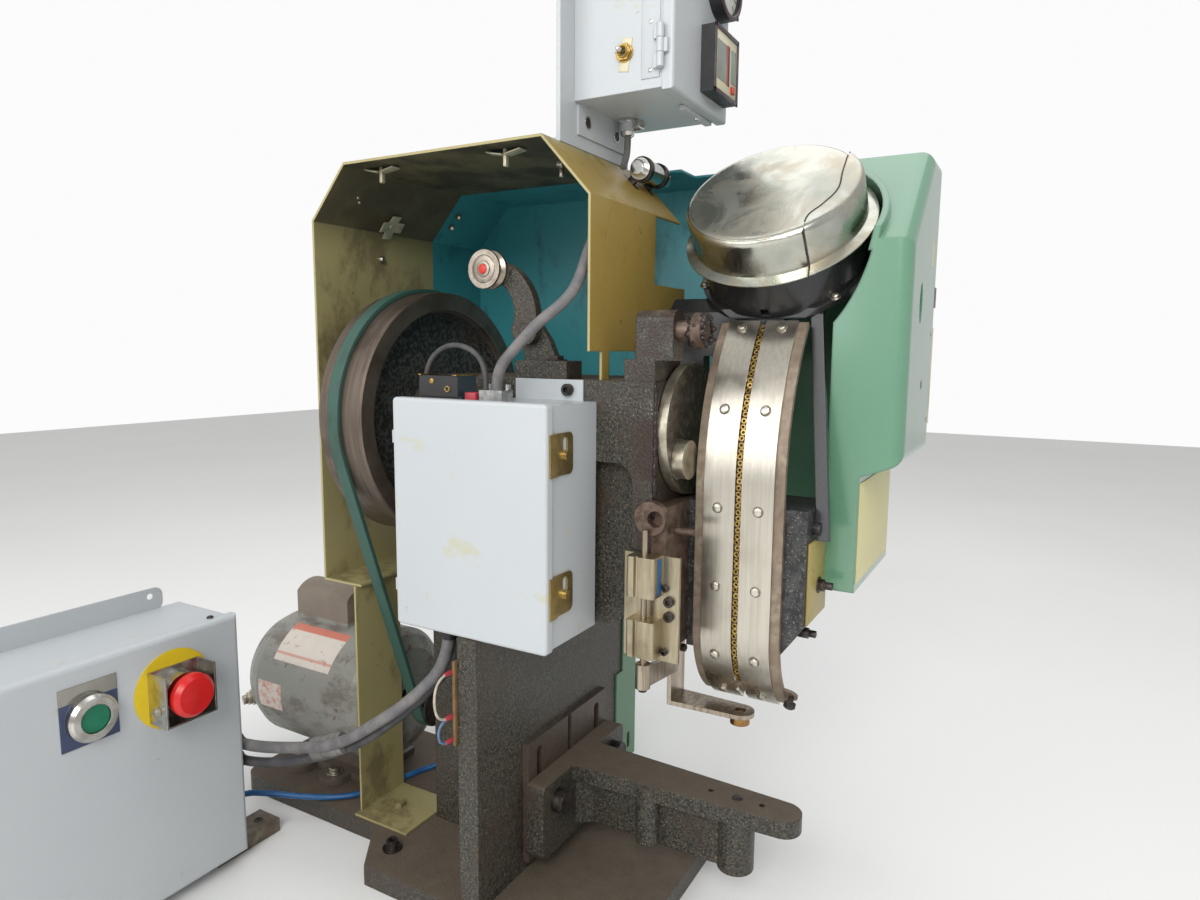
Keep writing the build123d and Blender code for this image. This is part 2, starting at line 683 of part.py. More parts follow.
# Raceway: a curved back plate with the eyelet track, two cover strips and their screws
race_depth = COVER_T + BACK_T
with BuildPart() as raceway_back:
    race_sheet(PUNCH_Y + RACE_HALF, -2 * RACE_HALF, COVER_T, race_depth)
    race_sheet(PUNCH_Y + TRACK_GAP, -2 * TRACK_GAP, COVER_T - 1, COVER_T + TRACK_DEPTH, Mode.SUBTRACT)
    lug_x = track_x(PIVOT_Z, race_depth - 1)
    with BuildSketch(front_plane(PUNCH_Y)):
        with BuildLine():
            Polyline((lug_x, PIVOT_Z - LUG_R), (PIVOT_X, PIVOT_Z - LUG_R), (PIVOT_X, PIVOT_Z + LUG_R),
                     (track_x(PIVOT_Z + LUG_R, race_depth - 1), PIVOT_Z + LUG_R), close=True)
        make_face()
        with Locations((PIVOT_X, PIVOT_Z)):
            Circle(LUG_R)
    extrude(amount=LUG_HALF, both=True)
    bar((PIVOT_X, PUNCH_Y - LUG_HALF - 1, PIVOT_Z), (0, 1, 0), PIVOT_R + RUN, 2 * LUG_HALF + 2, Mode.SUBTRACT)
    bar((*PUNCH, NEEDLE_WAY_Z[0]), (0, 0, 1), NEEDLE_WAY_R, NEEDLE_WAY_Z[1] - NEEDLE_WAY_Z[0], Mode.SUBTRACT)
    tab_c = (LOWER_C[0] + (LOWER_R - race_depth) * cos(radians(TAB_ANGLE)),
             LOWER_C[1] + (LOWER_R - race_depth) * sin(radians(TAB_ANGLE)))
    tab_out = (cos(radians(TAB_ANGLE)), 0, sin(radians(TAB_ANGLE)))
    with BuildSketch(Plane(origin=(tab_c[0], PUNCH_Y - RACE_HALF, tab_c[1]), x_dir=(0, 1, 0), z_dir=tab_out)):
        Circle(TAB_R)
        with Locations((TAB_R, 0)):
            Rectangle(2 * TAB_R, 2 * TAB_R)
    extrude(amount=TAB_T)
save(raceway_back, "raceway_back")


def screw_frame(z):
    """Outward direction and X of the raceway's face at a height."""
    if z > UPPER_C[1]:
        out = Vector(track_x(z) - UPPER_C[0], 0, z - UPPER_C[1]).normalized()
    elif z < LOWER_C[1]:
        out = Vector(track_x(z) - LOWER_C[0], 0, z - LOWER_C[1]).normalized()
    else:
        out = Vector(-1, 0, 0)
    return out, track_x(z)


with BuildPart() as raceway_covers:
    race_sheet(PUNCH_Y + COVER_HALF, TRACK_GAP - COVER_HALF, 0, COVER_T)
    race_sheet(PUNCH_Y - TRACK_GAP, TRACK_GAP - COVER_HALF, 0, COVER_T)
    bar((*PUNCH, NEEDLE_WAY_Z[0]), (0, 0, 1), NEEDLE_WAY_R, NEEDLE_WAY_Z[1] - NEEDLE_WAY_Z[0], Mode.SUBTRACT)
    for z in RACE_SCREW_Z:
        out, face_x = screw_frame(z)
        for side in (-1, 1):
            seat = Vector(face_x, PUNCH_Y + side * RACE_SCREW_Y, z) - out * 0.5
            hexagon(tuple(seat), tuple(out), SCREW_R, SCREW_H + 0.5)
save(raceway_covers, "raceway_covers")

thumb_y = PUNCH_Y - RACE_HALF - TAB_R / 2
thumb_top = (tab_c[0] + TAB_T * tab_out[0], thumb_y, tab_c[1] + TAB_T * tab_out[2])
with BuildPart() as thumb_screw:
    turned(thumb_top, tab_out, [
        (0, SLIP), (3, SLIP), (3, 6), (THUMB_R, 7), (THUMB_R, 12), (THUMB_R - 2, 13.5), (0, 13.5)])
save(thumb_screw, "thumb_screw")

# Hopper: cast arm with its dish and clevis, bowl, rotor and two-piece lid
hop_low = BOWL_LOW + HOLDER_T
with BuildPart() as hopper_arm:
    block((BEAM_X[0] - 30, BEAM_X[1]), (HEAD_FRONT + 2, BEAM_Y[1]), (HEAD_TOP, HEAD_TOP + 14))
    block(BEAM_X, (HEAD_FRONT + 2, BEAM_Y[1]), (HEAD_TOP, COVER_TOP))
    block(BEAM_X, BEAM_Y, (BEAM_BOTTOM, COVER_TOP))
    with BuildSketch(hopper_plane(hop_low)):
        Rectangle(600, 600)
    extrude(amount=200, mode=Mode.SUBTRACT)
    bar(hopper_point(hop_low), tuple(-a for a in HOP_AXIS), FLANGE_R, FLANGE_T)
    turned(hopper_point(hop_low), HOP_AXIS, [
        (0, 0), (HOLDER_R, 0), (HOLDER_R, 2 * HOLDER_T), (BOWL_R + RUN, 2 * HOLDER_T), (BOWL_R + RUN, HOLDER_T),
        (0, HOLDER_T)])
    bar(hopper_point(hop_low - 8), tuple(-a for a in HOP_AXIS), ROTOR_HUB_R + RUN, 14, Mode.SUBTRACT)
    block((0, BEAM_X[0] - 9), (PUNCH_Y - RACE_HALF - 7, PUNCH_Y + RACE_HALF + 7), (BEAM_BOTTOM, 760), Mode.SUBTRACT)
    for y in (PUNCH_Y - LUG_HALF - SLIP - CLEVIS_T, PUNCH_Y + LUG_HALF + SLIP):
        block((PIVOT_X, BEAM_X[0] + 1), (y, y + CLEVIS_T), (PIVOT_Z - LUG_R, PIVOT_Z + LUG_R))
        bar((PIVOT_X, y, PIVOT_Z), (0, 1, 0), LUG_R, CLEVIS_T)
    bar((PIVOT_X, PUNCH_Y - LUG_HALF - SLIP - CLEVIS_T, PIVOT_Z), (0, 1, 0), PIVOT_R,
        2 * (LUG_HALF + SLIP + CLEVIS_T))
save(hopper_arm, "hopper_arm")

with BuildPart() as hopper_bowl:
    turned(hopper_point(BOWL_LOW), HOP_AXIS, [
        (ROTOR_HUB_R + 0.3, 0), (BOWL_R, 0), (BOWL_R, BOWL_LOW - BOWL_RIM), (BOWL_R - BOWL_WALL, BOWL_LOW - BOWL_RIM),
        (BOWL_R - BOWL_WALL, BOWL_WALL), (ROTOR_HUB_R + 0.3, BOWL_WALL)])
    with BuildSketch(hopper_plane(BOWL_LOW - BOWL_WALL)):
        with Locations((-BOWL_R, 0)):
            Rectangle(20, 2 * TRACK_GAP + 2)
    extrude(amount=8, mode=Mode.SUBTRACT)
save(hopper_bowl, "hopper_bowl")

rotor_top = BOWL_LOW - ROTOR_DROP
with BuildPart() as hopper_rotor:
    turned(hopper_point(BOWL_LOW), HOP_AXIS, [
        (0, -HOLDER_T + 0.5), (ROTOR_HUB_R, -HOLDER_T + 0.5), (ROTOR_HUB_R, rotor_top - ROTOR_T),
        (ROTOR_R, rotor_top - ROTOR_T), (ROTOR_R, rotor_top), (26, rotor_top), (14, rotor_top + 12),
        (0, rotor_top + 16)])
    with BuildSketch(hopper_plane(ROTOR_DROP)):
        with PolarLocations(ROTOR_R - 24, 6):
            SlotOverall(40, 5)
    extrude(amount=7)
save(hopper_rotor, "hopper_rotor")


def lid_shell(nest):
    """The spun lid: flat top, rounded edge, skirt and flared lip, all shrunk and dropped by nest."""
    turned(hopper_point(0), HOP_AXIS, [
        (0, -nest), (LID_R - nest, -nest), (LID_R - nest, -LID_SKIRT - nest),
        (LIP_R - nest, -LID_SKIRT - LIP_DROP - nest), (LIP_R - nest, -LID_SKIRT - LIP_DROP - LID_T - nest),
        (LID_R - LID_T - nest, -LID_SKIRT - LID_T - nest), (LID_R - LID_T - nest, -LID_T - nest),
        (0, -LID_T - nest)],
        rounding=LID_EDGE, corners=((LID_R - nest, -nest),))


def seam_cut(shift, keep_front):
    """Cut the lid along its S-shaped seam; keep_front keeps the small piece at the machine's front."""
    edge = [(u, v + shift) for u, v in SEAM]
    far = -200 if not keep_front else 200
    with BuildSketch(hopper_plane(LID_SKIRT + 30)) as beyond:
        with BuildLine():
            curve = Spline(*edge)
            Polyline(curve @ 1, (-200, edge[-1][1]), (-200, far), (200, far), (200, edge[0][1]), curve @ 0)
        make_face()
    extrude(beyond.sketch, amount=LID_SKIRT + 60, mode=Mode.SUBTRACT)


with BuildPart() as lid_segment:
    lid_shell(0)
    seam_cut(0, True)
save(lid_segment, "lid_segment")

with BuildPart() as hopper_lid:
    lid_shell(LID_NEST)
    seam_cut(-6, False)
save(hopper_lid, "hopper_lid")

# Guard over the feed side, open at its rear, with the ring round the hopper
inner = SHEET / tan(radians(66))
with BuildPart() as guard_room:
    prism(front_plane(GUARD_SEAM + 1), [
        (GUARD_X + SHEET, GUARD_STEP_Z + SHEET), (GUARD_X + SHEET, SLOPE_Z - inner),
        (SLOPE_X + inner, COVER_TOP - SHEET), (FAR_X - SHEET, COVER_TOP - SHEET),
        (FAR_X - SHEET, GUARD_STEP_Z + SHEET)], GUARD_SEAM - GUARD_FRONT - SHEET + 1)
    prism(side_plane(GUARD_X), [
        (GUARD_FRONT - 1, GUARD_STEP_Z), (GUARD_STEP_Y, GUARD_STEP_Z), (GUARD_STEP_Y, GUARD_STEP_Z + SHEET),
        (GUARD_FRONT + SHEET, GUARD_STEP_Z + GUARD_STEP_RISE + SHEET),
        (GUARD_FRONT - 1, GUARD_STEP_Z + GUARD_STEP_RISE + SHEET)], FAR_X - GUARD_X, Mode.SUBTRACT)
    fillet(guard_room.edges().group_by(Axis.Y)[0], GUARD_ROUND - SHEET)

with BuildPart() as front_guard:
    slope = [(GUARD_X, GUARD_STEP_Z), (GUARD_X, SLOPE_Z), (SLOPE_X, COVER_TOP), (FAR_X, COVER_TOP),
             (FAR_X, GUARD_STEP_Z)]
    prism(front_plane(GUARD_SEAM), slope, GUARD_SEAM - GUARD_FRONT)
    prism(side_plane(GUARD_X), [
        (GUARD_FRONT - 1, GUARD_STEP_Z - 1), (GUARD_STEP_Y, GUARD_STEP_Z - 1), (GUARD_STEP_Y, GUARD_STEP_Z),
        (GUARD_FRONT, GUARD_STEP_Z + GUARD_STEP_RISE), (GUARD_FRONT - 1, GUARD_STEP_Z + GUARD_STEP_RISE)],
        FAR_X - GUARD_X, Mode.SUBTRACT)
    block((GUARD_X, FAR_X), (GUARD_STEP_Y, GUARD_SEAM), (GUARD_LOW, GUARD_STEP_Z))
    front_edges = front_guard.edges().filter_by(GeomType.LINE).filter_by_position(Axis.Y, GUARD_FRONT, GUARD_FRONT)
    fillet(front_edges, GUARD_ROUND)
    add(guard_room.part, mode=Mode.SUBTRACT)
    block((GUARD_X + SHEET, FAR_X - SHEET), (GUARD_STEP_Y + SHEET, GUARD_SEAM + 1),
          (GUARD_LOW + SHEET, GUARD_STEP_Z + 2 * SHEET), Mode.SUBTRACT)
    block((GUARD_X - 1, GUARD_X + SHEET + 1), (GUARD_EDGE, GUARD_SEAM + 1), (GUARD_LOW - 1, SLOPE_Z + 12),
          Mode.SUBTRACT)
    block((GUARD_X - 1, FAR_X - SHEET), (GUARD_EDGE, GUARD_SEAM + 1), (GUARD_LOW - 1, GUARD_LOW + 2 * SHEET),
          Mode.SUBTRACT)
    bar(hopper_point(RING_DROP[1] + 60), HOP_AXIS, (RING_R[0] + RING_R[1]) / 2, 200, Mode.SUBTRACT)
    with BuildSketch(front_plane(GUARD_FRONT + 2 * SHEET)):
        with Locations((120, 700)):
            Ellipse(9, 22)
    extrude(amount=4 * SHEET, mode=Mode.SUBTRACT)
    turned(hopper_point(RING_DROP[1]), HOP_AXIS, [
        (RING_R[0], 0), (RING_R[1], 0), (RING_R[1], RING_DROP[1] - RING_DROP[0]),
        (RING_R[0], RING_DROP[1] - RING_DROP[0])])
    block((GUARD_X - 200, GUARD_X), (GUARD_FRONT, 0), (SLOPE_Z - 200, COVER_TOP + 100), Mode.SUBTRACT)
    block((GUARD_X - 200, FAR_X - SHEET), (GUARD_SEAM - 60, 0), (SLOPE_Z - 200, COVER_TOP - SHEET), Mode.SUBTRACT)
save(front_guard, "front_guard")

with BuildPart() as guard_bar:
    for z, place in zip(BAR_Z, BAR_ENDS):
        with BuildSketch(Plane.XY.offset(z)):
            with Locations(place):
                Rectangle(BAR_T, BAR_W)
    loft()
    with BuildSketch(hopper_plane(hop_low)):
        Rectangle(600, 600)
    extrude(amount=200, mode=Mode.SUBTRACT)
    bar((BAR_ENDS[0][0], BLOCK_FRONT, BAR_Z[0] + 12), (0, -1, 0), 7, 8)
save(guard_bar, "guard_bar")

# Far cover: a pan that closes the far side, its rim following the hood
hood_line = [(HOOD_REAR, LEDGE_Z), (HOOD_REAR, HOOD_SHOULDER_Z), (HOOD_REAR_TOP, COVER_TOP),
             (HOOD_FRONT_TOP, COVER_TOP), (HOOD_FRONT, HOOD_SHOULDER_Z), (HOOD_FRONT, HOOD_BOTTOM)]
rim_in = SHEET * tan(radians(22.5))
with BuildPart() as far_cover:
    prism(side_plane(HOOD_X[1]), [
        (HOOD_REAR, FAR_BOTTOM), (HOOD_REAR, HOOD_SHOULDER_Z), (HOOD_REAR_TOP, COVER_TOP),
        (GUARD_SEAM, COVER_TOP), (GUARD_SEAM, FAR_BOTTOM)], FAR_X - HOOD_X[1])
    prism(side_plane(HOOD_X[1] - 1), [
        (HOOD_REAR - SHEET, FAR_BOTTOM - 1), (HOOD_REAR - SHEET, HOOD_SHOULDER_Z - rim_in),
        (HOOD_REAR_TOP - rim_in, COVER_TOP - SHEET), (GUARD_SEAM - 1, COVER_TOP - SHEET),
        (GUARD_SEAM - 1, FAR_BOTTOM - 1)], FAR_X - HOOD_X[1] - SHEET + 1, Mode.SUBTRACT)
    block((HOOD_X[1] - 1, SLOPE_X), (GUARD_SEAM - 1, HOOD_FRONT), (COVER_TOP - 2 * SHEET, COVER_TOP + 1), Mode.SUBTRACT)
save(far_cover, "far_cover")

with BuildPart() as lower_cover:
    front = PED_FRONT - LOWER_COVER_T
    prism(front_plane(PED_FRONT), [
        (LOWER_COVER_X, LOWER_COVER_Z[0]), (LOWER_COVER_X, LOWER_COVER_Z[1]),
        (LOWER_COVER_EDGE[1], LOWER_COVER_Z[1]), (LOWER_COVER_EDGE[1], LOWER_COVER_STEP),
        (LOWER_COVER_EDGE[0], LOWER_COVER_STEP), (LOWER_COVER_EDGE[0], LOWER_COVER_Z[0])], LOWER_COVER_T)
    block((LOWER_COVER_X - LOWER_COVER_T, LOWER_COVER_X), (front, LOWER_COVER_REAR), LOWER_COVER_Z)
    with BuildSketch(front_plane(front - 1)):
        with Locations((172, 75)):
            SlotOverall(24, 8, rotation=90)
    extrude(amount=-(LOWER_COVER_T + 2), mode=Mode.SUBTRACT)
save(lower_cover, "lower_cover")

# Hood: one folded sheet band over the flywheel, with a leg down to the head
with BuildPart() as hood:
    inner_line = [(HOOD_REAR - SHEET, LEDGE_Z + SHEET), (HOOD_REAR - SHEET, HOOD_SHOULDER_Z - rim_in),
                  (HOOD_REAR_TOP - rim_in, COVER_TOP - SHEET), (HOOD_FRONT_TOP + rim_in, COVER_TOP - SHEET),
                  (HOOD_FRONT + SHEET, HOOD_SHOULDER_Z - rim_in), (HOOD_FRONT + SHEET, HOOD_BOTTOM)]
    ledge = [(LEDGE_Y, LEDGE_Z + SHEET), (LEDGE_Y, LEDGE_Z)]
    prism(side_plane(HOOD_X[0]), ledge + hood_line + inner_line[::-1], HOOD_X[1] - HOOD_X[0])
    block((PANEL_FAR[0], HOOD_X[1] + 1), (HOOD_FRONT - 1, HOOD_FRONT + SHEET + 1),
          (PANEL_STEP_Z, HOOD_SHOULDER_Z - 2), Mode.SUBTRACT)
    block((HOOD_X[1] - 1, PANEL_FAR[1]), (HOOD_FRONT, HOOD_FRONT + SHEET), (HOOD_BOTTOM, PANEL_STEP_Z))
    block(LEG_X, (HOOD_FRONT, HOOD_FRONT + SHEET), (HEAD_TOP, HOOD_BOTTOM + 1))
save(hood, "hood")

with BuildPart() as hood_strut:
    block(STRUT_X, (STRUT_Y, STRUT_Y + SHEET), (BASE_T, LEDGE_Z))
    block((STRUT_X[0] - 10, STRUT_X[1]), (STRUT_FOOT, STRUT_Y + SHEET), (BASE_T, BASE_T + SHEET))
    hexagon((-69, BELT_Y, BASE_T + SHEET), (0, 0, 1), 8, 6)
save(hood_strut, "hood_strut")

# Brackets on top of the head, with the feed shaft and the swinging idler
with BuildPart() as front_bracket:
    block(FRONT_BRACKET_X, (HEAD_FRONT + 1, -133), (HEAD_TOP, FRONT_BRACKET_Z))
    block(BOSS_X, BOSS_Y, (FRONT_BRACKET_Z - 1, BOSS_TOP))
    fillet(front_bracket.edges().filter_by(Axis.Y).group_by(Axis.Z)[-1], 12)
    bar(((BOSS_X[0] + BOSS_X[1]) / 2, BOSS_Y[1] + 1, FEED_Z), (0, -1, 0), FEED_R + RUN, BOSS_Y[1] - BOSS_Y[0] + 2,
        Mode.SUBTRACT)
save(front_bracket, "front_bracket")

with BuildPart() as feed_shaft:
    feed_x = (BOSS_X[0] + BOSS_X[1]) / 2
    bar((feed_x, BOSS_Y[1], FEED_Z), (0, -1, 0), FEED_R, BOSS_Y[1] - COLLAR_Y[0])
    bar((feed_x, COLLAR_Y[1], FEED_Z), (0, -1, 0), COLLAR_R, COLLAR_Y[1] - COLLAR_Y[0])
save(feed_shaft, "feed_shaft")

rear_x = (REAR_FOOT_X[0] + REAR_FOOT_X[1]) / 2
with BuildPart() as rear_bracket:
    block(REAR_FOOT_X, REAR_FOOT_Y, (HEAD_TOP, HEAD_TOP + 20))
    lug_face = rear_x + LEVER_T / 2 + SLIP
    prism(side_plane(lug_face), [
        (-40, HEAD_TOP + 10), (REAR_FOOT_Y[1], HEAD_TOP + 10), (LEVER_Y + 12, LEVER_Z - 12), (LEVER_Y + 12, LEVER_Z),
        (LEVER_Y - 12, LEVER_Z + 8), (LEVER_Y - 26, LEVER_Z - 10)], REAR_FOOT_X[1] - lug_face)
    bar((lug_face, LEVER_Y, LEVER_Z), (1, 0, 0), 15, REAR_FOOT_X[1] - lug_face)
    bar((lug_face, LEVER_Y, LEVER_Z), (-1, 0, 0), 7, LEVER_T + 2 * SLIP)
save(rear_bracket, "rear_bracket")

with BuildPart() as swing_lever:
    lever_x = rear_x - LEVER_T / 2
    with BuildSketch(side_plane(lever_x)):
        with Locations((LEVER_Y, LEVER_Z)):
            Circle(LEVER_HUB_R)
        with Locations((IDLER_Y, IDLER_Z)):
            Circle(12)
        with BuildLine():
            outer = ThreePointArc((LEVER_Y - 16, LEVER_Z + 4), (LEVER_Y - 6, LEVER_Z + 50), (IDLER_Y - 5, IDLER_Z + 11))
            Line(outer @ 1, (IDLER_Y + 5, IDLER_Z - 11))
            inner_arc = ThreePointArc((IDLER_Y + 5, IDLER_Z - 11), (LEVER_Y + 16, LEVER_Z + 34),
                                      (LEVER_Y + 15, LEVER_Z + 6))
            Line(inner_arc @ 1, outer @ 0)
        make_face()
    extrude(amount=LEVER_T)
    bar((lever_x - 1, LEVER_Y, LEVER_Z), (1, 0, 0), 7 + RUN, LEVER_T + 2, Mode.SUBTRACT)
    bar((lever_x, IDLER_Y, IDLER_Z), (-1, 0, 0), IDLER_PIN_R, IDLER_T + 2 * SLIP)
save(swing_lever, "swing_lever")

with BuildPart() as grooved_roller:
    turned((lever_x - SLIP, IDLER_Y, IDLER_Z), (-1, 0, 0), [
        (IDLER_PIN_R + RUN, 0), (IDLER_R, 0), (IDLER_R, 3), (IDLER_R - 5, 6.5), (IDLER_R - 5, 9.5), (IDLER_R, 13),
        (IDLER_R, IDLER_T), (IDLER_PIN_R + RUN, IDLER_T)])
save(grooved_roller, "grooved_roller")

# Work probe: a small cylinder beside the head lowers a ring round the punch line
plate_out = -GIB_HALF - CYL_PLATE_T
with BuildPart() as cylinder_block:
    block((plate_out, -GIB_HALF), CYL_PLATE_Y, CYL_PLATE_Z)
    for z in CYL_BLOCKS:
        block((CYL_X, plate_out), CYL_Y, z)
    fillet(cylinder_block.edges().filter_by(Axis.Z).group_by(Axis.X)[0], 3)
    for z in CYL_BLOCKS:
        prism(Plane.XY.offset(z[0] - 1), [
            (CYL_X - 1, CYL_Y[1] - 8), (CYL_X - 1, CYL_Y[1] - 14), (CYL_X + 3, CYL_Y[1] - 12), (CYL_X + 3, CYL_Y[1] - 10)],
            z[1] - z[0] + 2, Mode.SUBTRACT)
    bar((ROD_X, ROD_Y, CYL_BLOCKS[1][0] - 1), (0, 0, 1), ROD_R + RUN, CYL_BLOCKS[0][1] - CYL_BLOCKS[1][0] + 2,
        Mode.SUBTRACT)
save(cylinder_block, "cylinder_block")

link_y = (PROBE_LEG_Y - LINK_T, PROBE_LEG_Y)
with BuildPart() as guide_rod:
    bar((ROD_X, ROD_Y, ROD_END_Z[0]), (0, 0, 1), ROD_R, ROD_TOP - ROD_END_Z[0])
    bar((ROD_X, ROD_Y, ROD_END_Z[0]), (0, 0, 1), ROD_END_R, ROD_END_Z[1] - ROD_END_Z[0])
    prism(front_plane(link_y[1]), [
        (ROD_X, LINK_Z[0] + 10), (LINK_X1 + 8, LINK_Z[0]), (LINK_X1 + 8, LINK_Z[1] - 2), (ROD_X, LINK_Z[1] + 10)], LINK_T)
save(guide_rod, "guide_rod")

with BuildPart() as probe_bracket:
    block((-PROBE_HALF, PROBE_HALF), (PROBE_LEG_Y, PROBE_LEG_Y + PROBE_T), (PROBE_FOOT_Z, PROBE_TOP))
    with BuildSketch(Plane.XY.offset(PROBE_FOOT_Z)):
        with BuildLine():
            Polyline((-PROBE_HALF, PROBE_LEG_Y + PROBE_T), (PROBE_HALF, PROBE_LEG_Y + PROBE_T),
                     (PROBE_TIP_R, PUNCH_Y), (-PROBE_TIP_R, PUNCH_Y), close=True)
        make_face()
        with Locations(PUNCH):
            Circle(PROBE_TIP_R)
    extrude(amount=PROBE_T)
    bar((*PUNCH, PROBE_FOOT_Z - 1), (0, 0, 1), RING_BORE_R, PROBE_T + 2, Mode.SUBTRACT)
save(probe_bracket, "probe_bracket")

with BuildPart() as probe_bush:
    bar((*PUNCH, PROBE_FOOT_Z), (0, 0, -1), RING_BUSH_R, RING_BUSH_H)
    bar((*PUNCH, PROBE_FOOT_Z + 1), (0, 0, -1), RING_BORE_R, RING_BUSH_H + 2, Mode.SUBTRACT)
save(probe_bush, "probe_bush")

# Junction box: open body, lipped door on hinges and two clamps
box_hinge_y = BOX_Y[1] + DOOR_LAP + HINGE_R
box_hinges = (BOX_Z[0] + 20, BOX_Z[1] - 20 - 3 * KNUCKLE)
with BuildPart() as box_body:
    block(BOX_X, BOX_Y, BOX_Z)
    block((BOX_X[0] - 1, BOX_X[1] - BOX_WALL), (BOX_Y[0] + BOX_WALL, BOX_Y[1] - BOX_WALL),
          (BOX_Z[0] + BOX_WALL, BOX_Z[1] - BOX_WALL), Mode.SUBTRACT)
    block((BOX_X[1] - EAR_PLATE_T, BOX_X[1]), EAR_PLATE_Y, (BOX_Z[1] - 1, EAR_PLATE_TOP))
    for z in box_hinges:
        for z0 in (z, z + 2 * KNUCKLE + 2 * SLIP):
            block((BOX_X[0], BOX_X[0] + 6), (BOX_Y[1] - 1, box_hinge_y), (z0, z0 + KNUCKLE))
    hinge_halves(BOX_X[0], box_hinge_y, box_hinges, False)
save(box_body, "box_body")

with BuildPart() as box_door:
    block((DOOR_FACE, BOX_X[0] - SLIP), (BOX_Y[0] - DOOR_LAP, BOX_Y[1] + DOOR_LAP),
          (BOX_Z[0] - DOOR_LAP, BOX_Z[1] + DOOR_LAP))
    fillet(box_door.edges().filter_by(Axis.X), DOOR_CORNER)
    fillet(box_door.edges().group_by(Axis.X)[0], 3.5)
    block((DOOR_FACE + BOX_WALL, BOX_X[0]), (BOX_Y[0] - DOOR_LAP + BOX_WALL, BOX_Y[1] + DOOR_LAP - BOX_WALL),
          (BOX_Z[0] - DOOR_LAP + BOX_WALL, BOX_Z[1] + DOOR_LAP - BOX_WALL), Mode.SUBTRACT)
    for z in box_hinges:
        block((DOOR_FACE + 4, BOX_X[0]), (BOX_Y[1] + DOOR_LAP - 1, box_hinge_y),
              (z + KNUCKLE + SLIP, z + 2 * KNUCKLE + SLIP))
    hinge_halves(BOX_X[0], box_hinge_y, box_hinges, True)
save(box_door, "box_door")

with BuildPart() as box_clamps:
    face = BOX_Y[0] - DOOR_LAP
    flat = BOX_Y[0] - SLIP
    for z in CLAMP_Z:
        bend_x = DOOR_FACE + CLAMP_BEND
        block((DOOR_FACE + 5, bend_x), (face - CLAMP_T, face), (z, z + CLAMP_H))
        block((bend_x - CLAMP_T, bend_x), (face - CLAMP_T, flat), (z, z + CLAMP_H))
        block((bend_x - CLAMP_T, DOOR_FACE + CLAMP_W), (flat - CLAMP_T, flat), (z, z + CLAMP_H))
        outer = box_clamps.edges().filter_by(Axis.Y).filter_by_position(Axis.X, DOOR_FACE + CLAMP_W - 1, DOOR_FACE + CLAMP_W + 1)
        fillet(outer.filter_by_position(Axis.Z, z - 1, z + CLAMP_H + 1), 7)
        with BuildSketch(front_plane(flat + 1)):
            with Locations((DOOR_FACE + 37, z + CLAMP_H - 12)):
                SlotOverall(16, 9, rotation=90)
        extrude(amount=CLAMP_T + 3, mode=Mode.SUBTRACT)
        bar((DOOR_FACE + 37, flat - CLAMP_T / 2, z + CLAMP_H - 23), (0, -1, 0), 5, 4.5)
save(box_clamps, "box_clamps")

with BuildPart() as terminal_block:
    block((-150, -118), (30, 84), (BOX_Z[1] + 3.5, BOX_Z[1] + 26))
    block((-147, -121), (27, 87), (BOX_Z[1], BOX_Z[1] + 4))
    block((-144, -124), (-24, 6), (BOX_Z[1], BOX_Z[1] + 12))
    for y in (-20, 2):
        bar((-128, y, BOX_Z[1] + 11), (0, 0, 1), 3.5, 7)
save(terminal_block, "terminal_block")

# Motor, its pulley and the belt up to the flywheel
seam = MOTOR_SEAM_Y - MOTOR_Y[0]
end = MOTOR_Y[1] - MOTOR_Y[0]
with BuildPart() as motor:
    turned((0, MOTOR_Y[0], MOTOR_Z), (0, 1, 0), [
        (MOTOR_SHAFT_R + 4, 0), (MOTOR_R - 26, 0), (MOTOR_R - 8, 10), (MOTOR_R, 22),
        (MOTOR_R, seam), (MOTOR_R - 1.5, seam + 2), (MOTOR_R - 6, seam + 16), (MOTOR_R - 16, seam + 34),
        (MOTOR_R - 30, seam + 46), (MOTOR_R - 50, end), (30, end), (28, end + MOTOR_BELL),
        (0, end + MOTOR_BELL), (0, 30), (MOTOR_SHAFT_R + 4, 30)])
    with BuildSketch(front_plane(CAP_Y[0])) as cap_end:
        with BuildLine():
            left = Line((CAP_X - CAP_HALF, MOTOR_Z + 50), (CAP_X - CAP_HALF, CAP_TOP - CAP_CROWN))
            over = ThreePointArc(left @ 1, (CAP_X, CAP_TOP), (CAP_X + CAP_HALF, CAP_TOP - CAP_CROWN))
            Line(over @ 1, (CAP_X + CAP_HALF, MOTOR_Z + 50))
            Line((CAP_X + CAP_HALF, MOTOR_Z + 50), left @ 0)
        make_face()
    extrude(amount=-(CAP_Y[1] - CAP_Y[0]))
    block((-MOUNT_PLATE, MOUNT_PLATE), MOUNT_Y, (BASE_T, BASE_T + MOUNT_T))
    block((-MOUNT_SADDLE, MOUNT_SADDLE), (MOUNT_Y[0] + 20, MOUNT_Y[1] - 20), (BASE_T, MOTOR_Z - 60))
    with BuildSketch(Plane.XY.offset(BASE_T)) as lugs:
        for y in MOUNT_LUG_Y:
            with Locations((0, y)):
                SlotOverall(2 * MOUNT_HALF, 2 * MOUNT_LUG_R)
    extrude(lugs.sketch, amount=MOUNT_T)
    for y in MOUNT_LUG_Y:
        for side in (-1, 1):
            bar((side * (MOUNT_HALF - MOUNT_LUG_R), y, BASE_T - 1), (0, 0, 1), MOUNT_HOLE_R, MOUNT_T + 2, Mode.SUBTRACT)
save(motor, "motor")

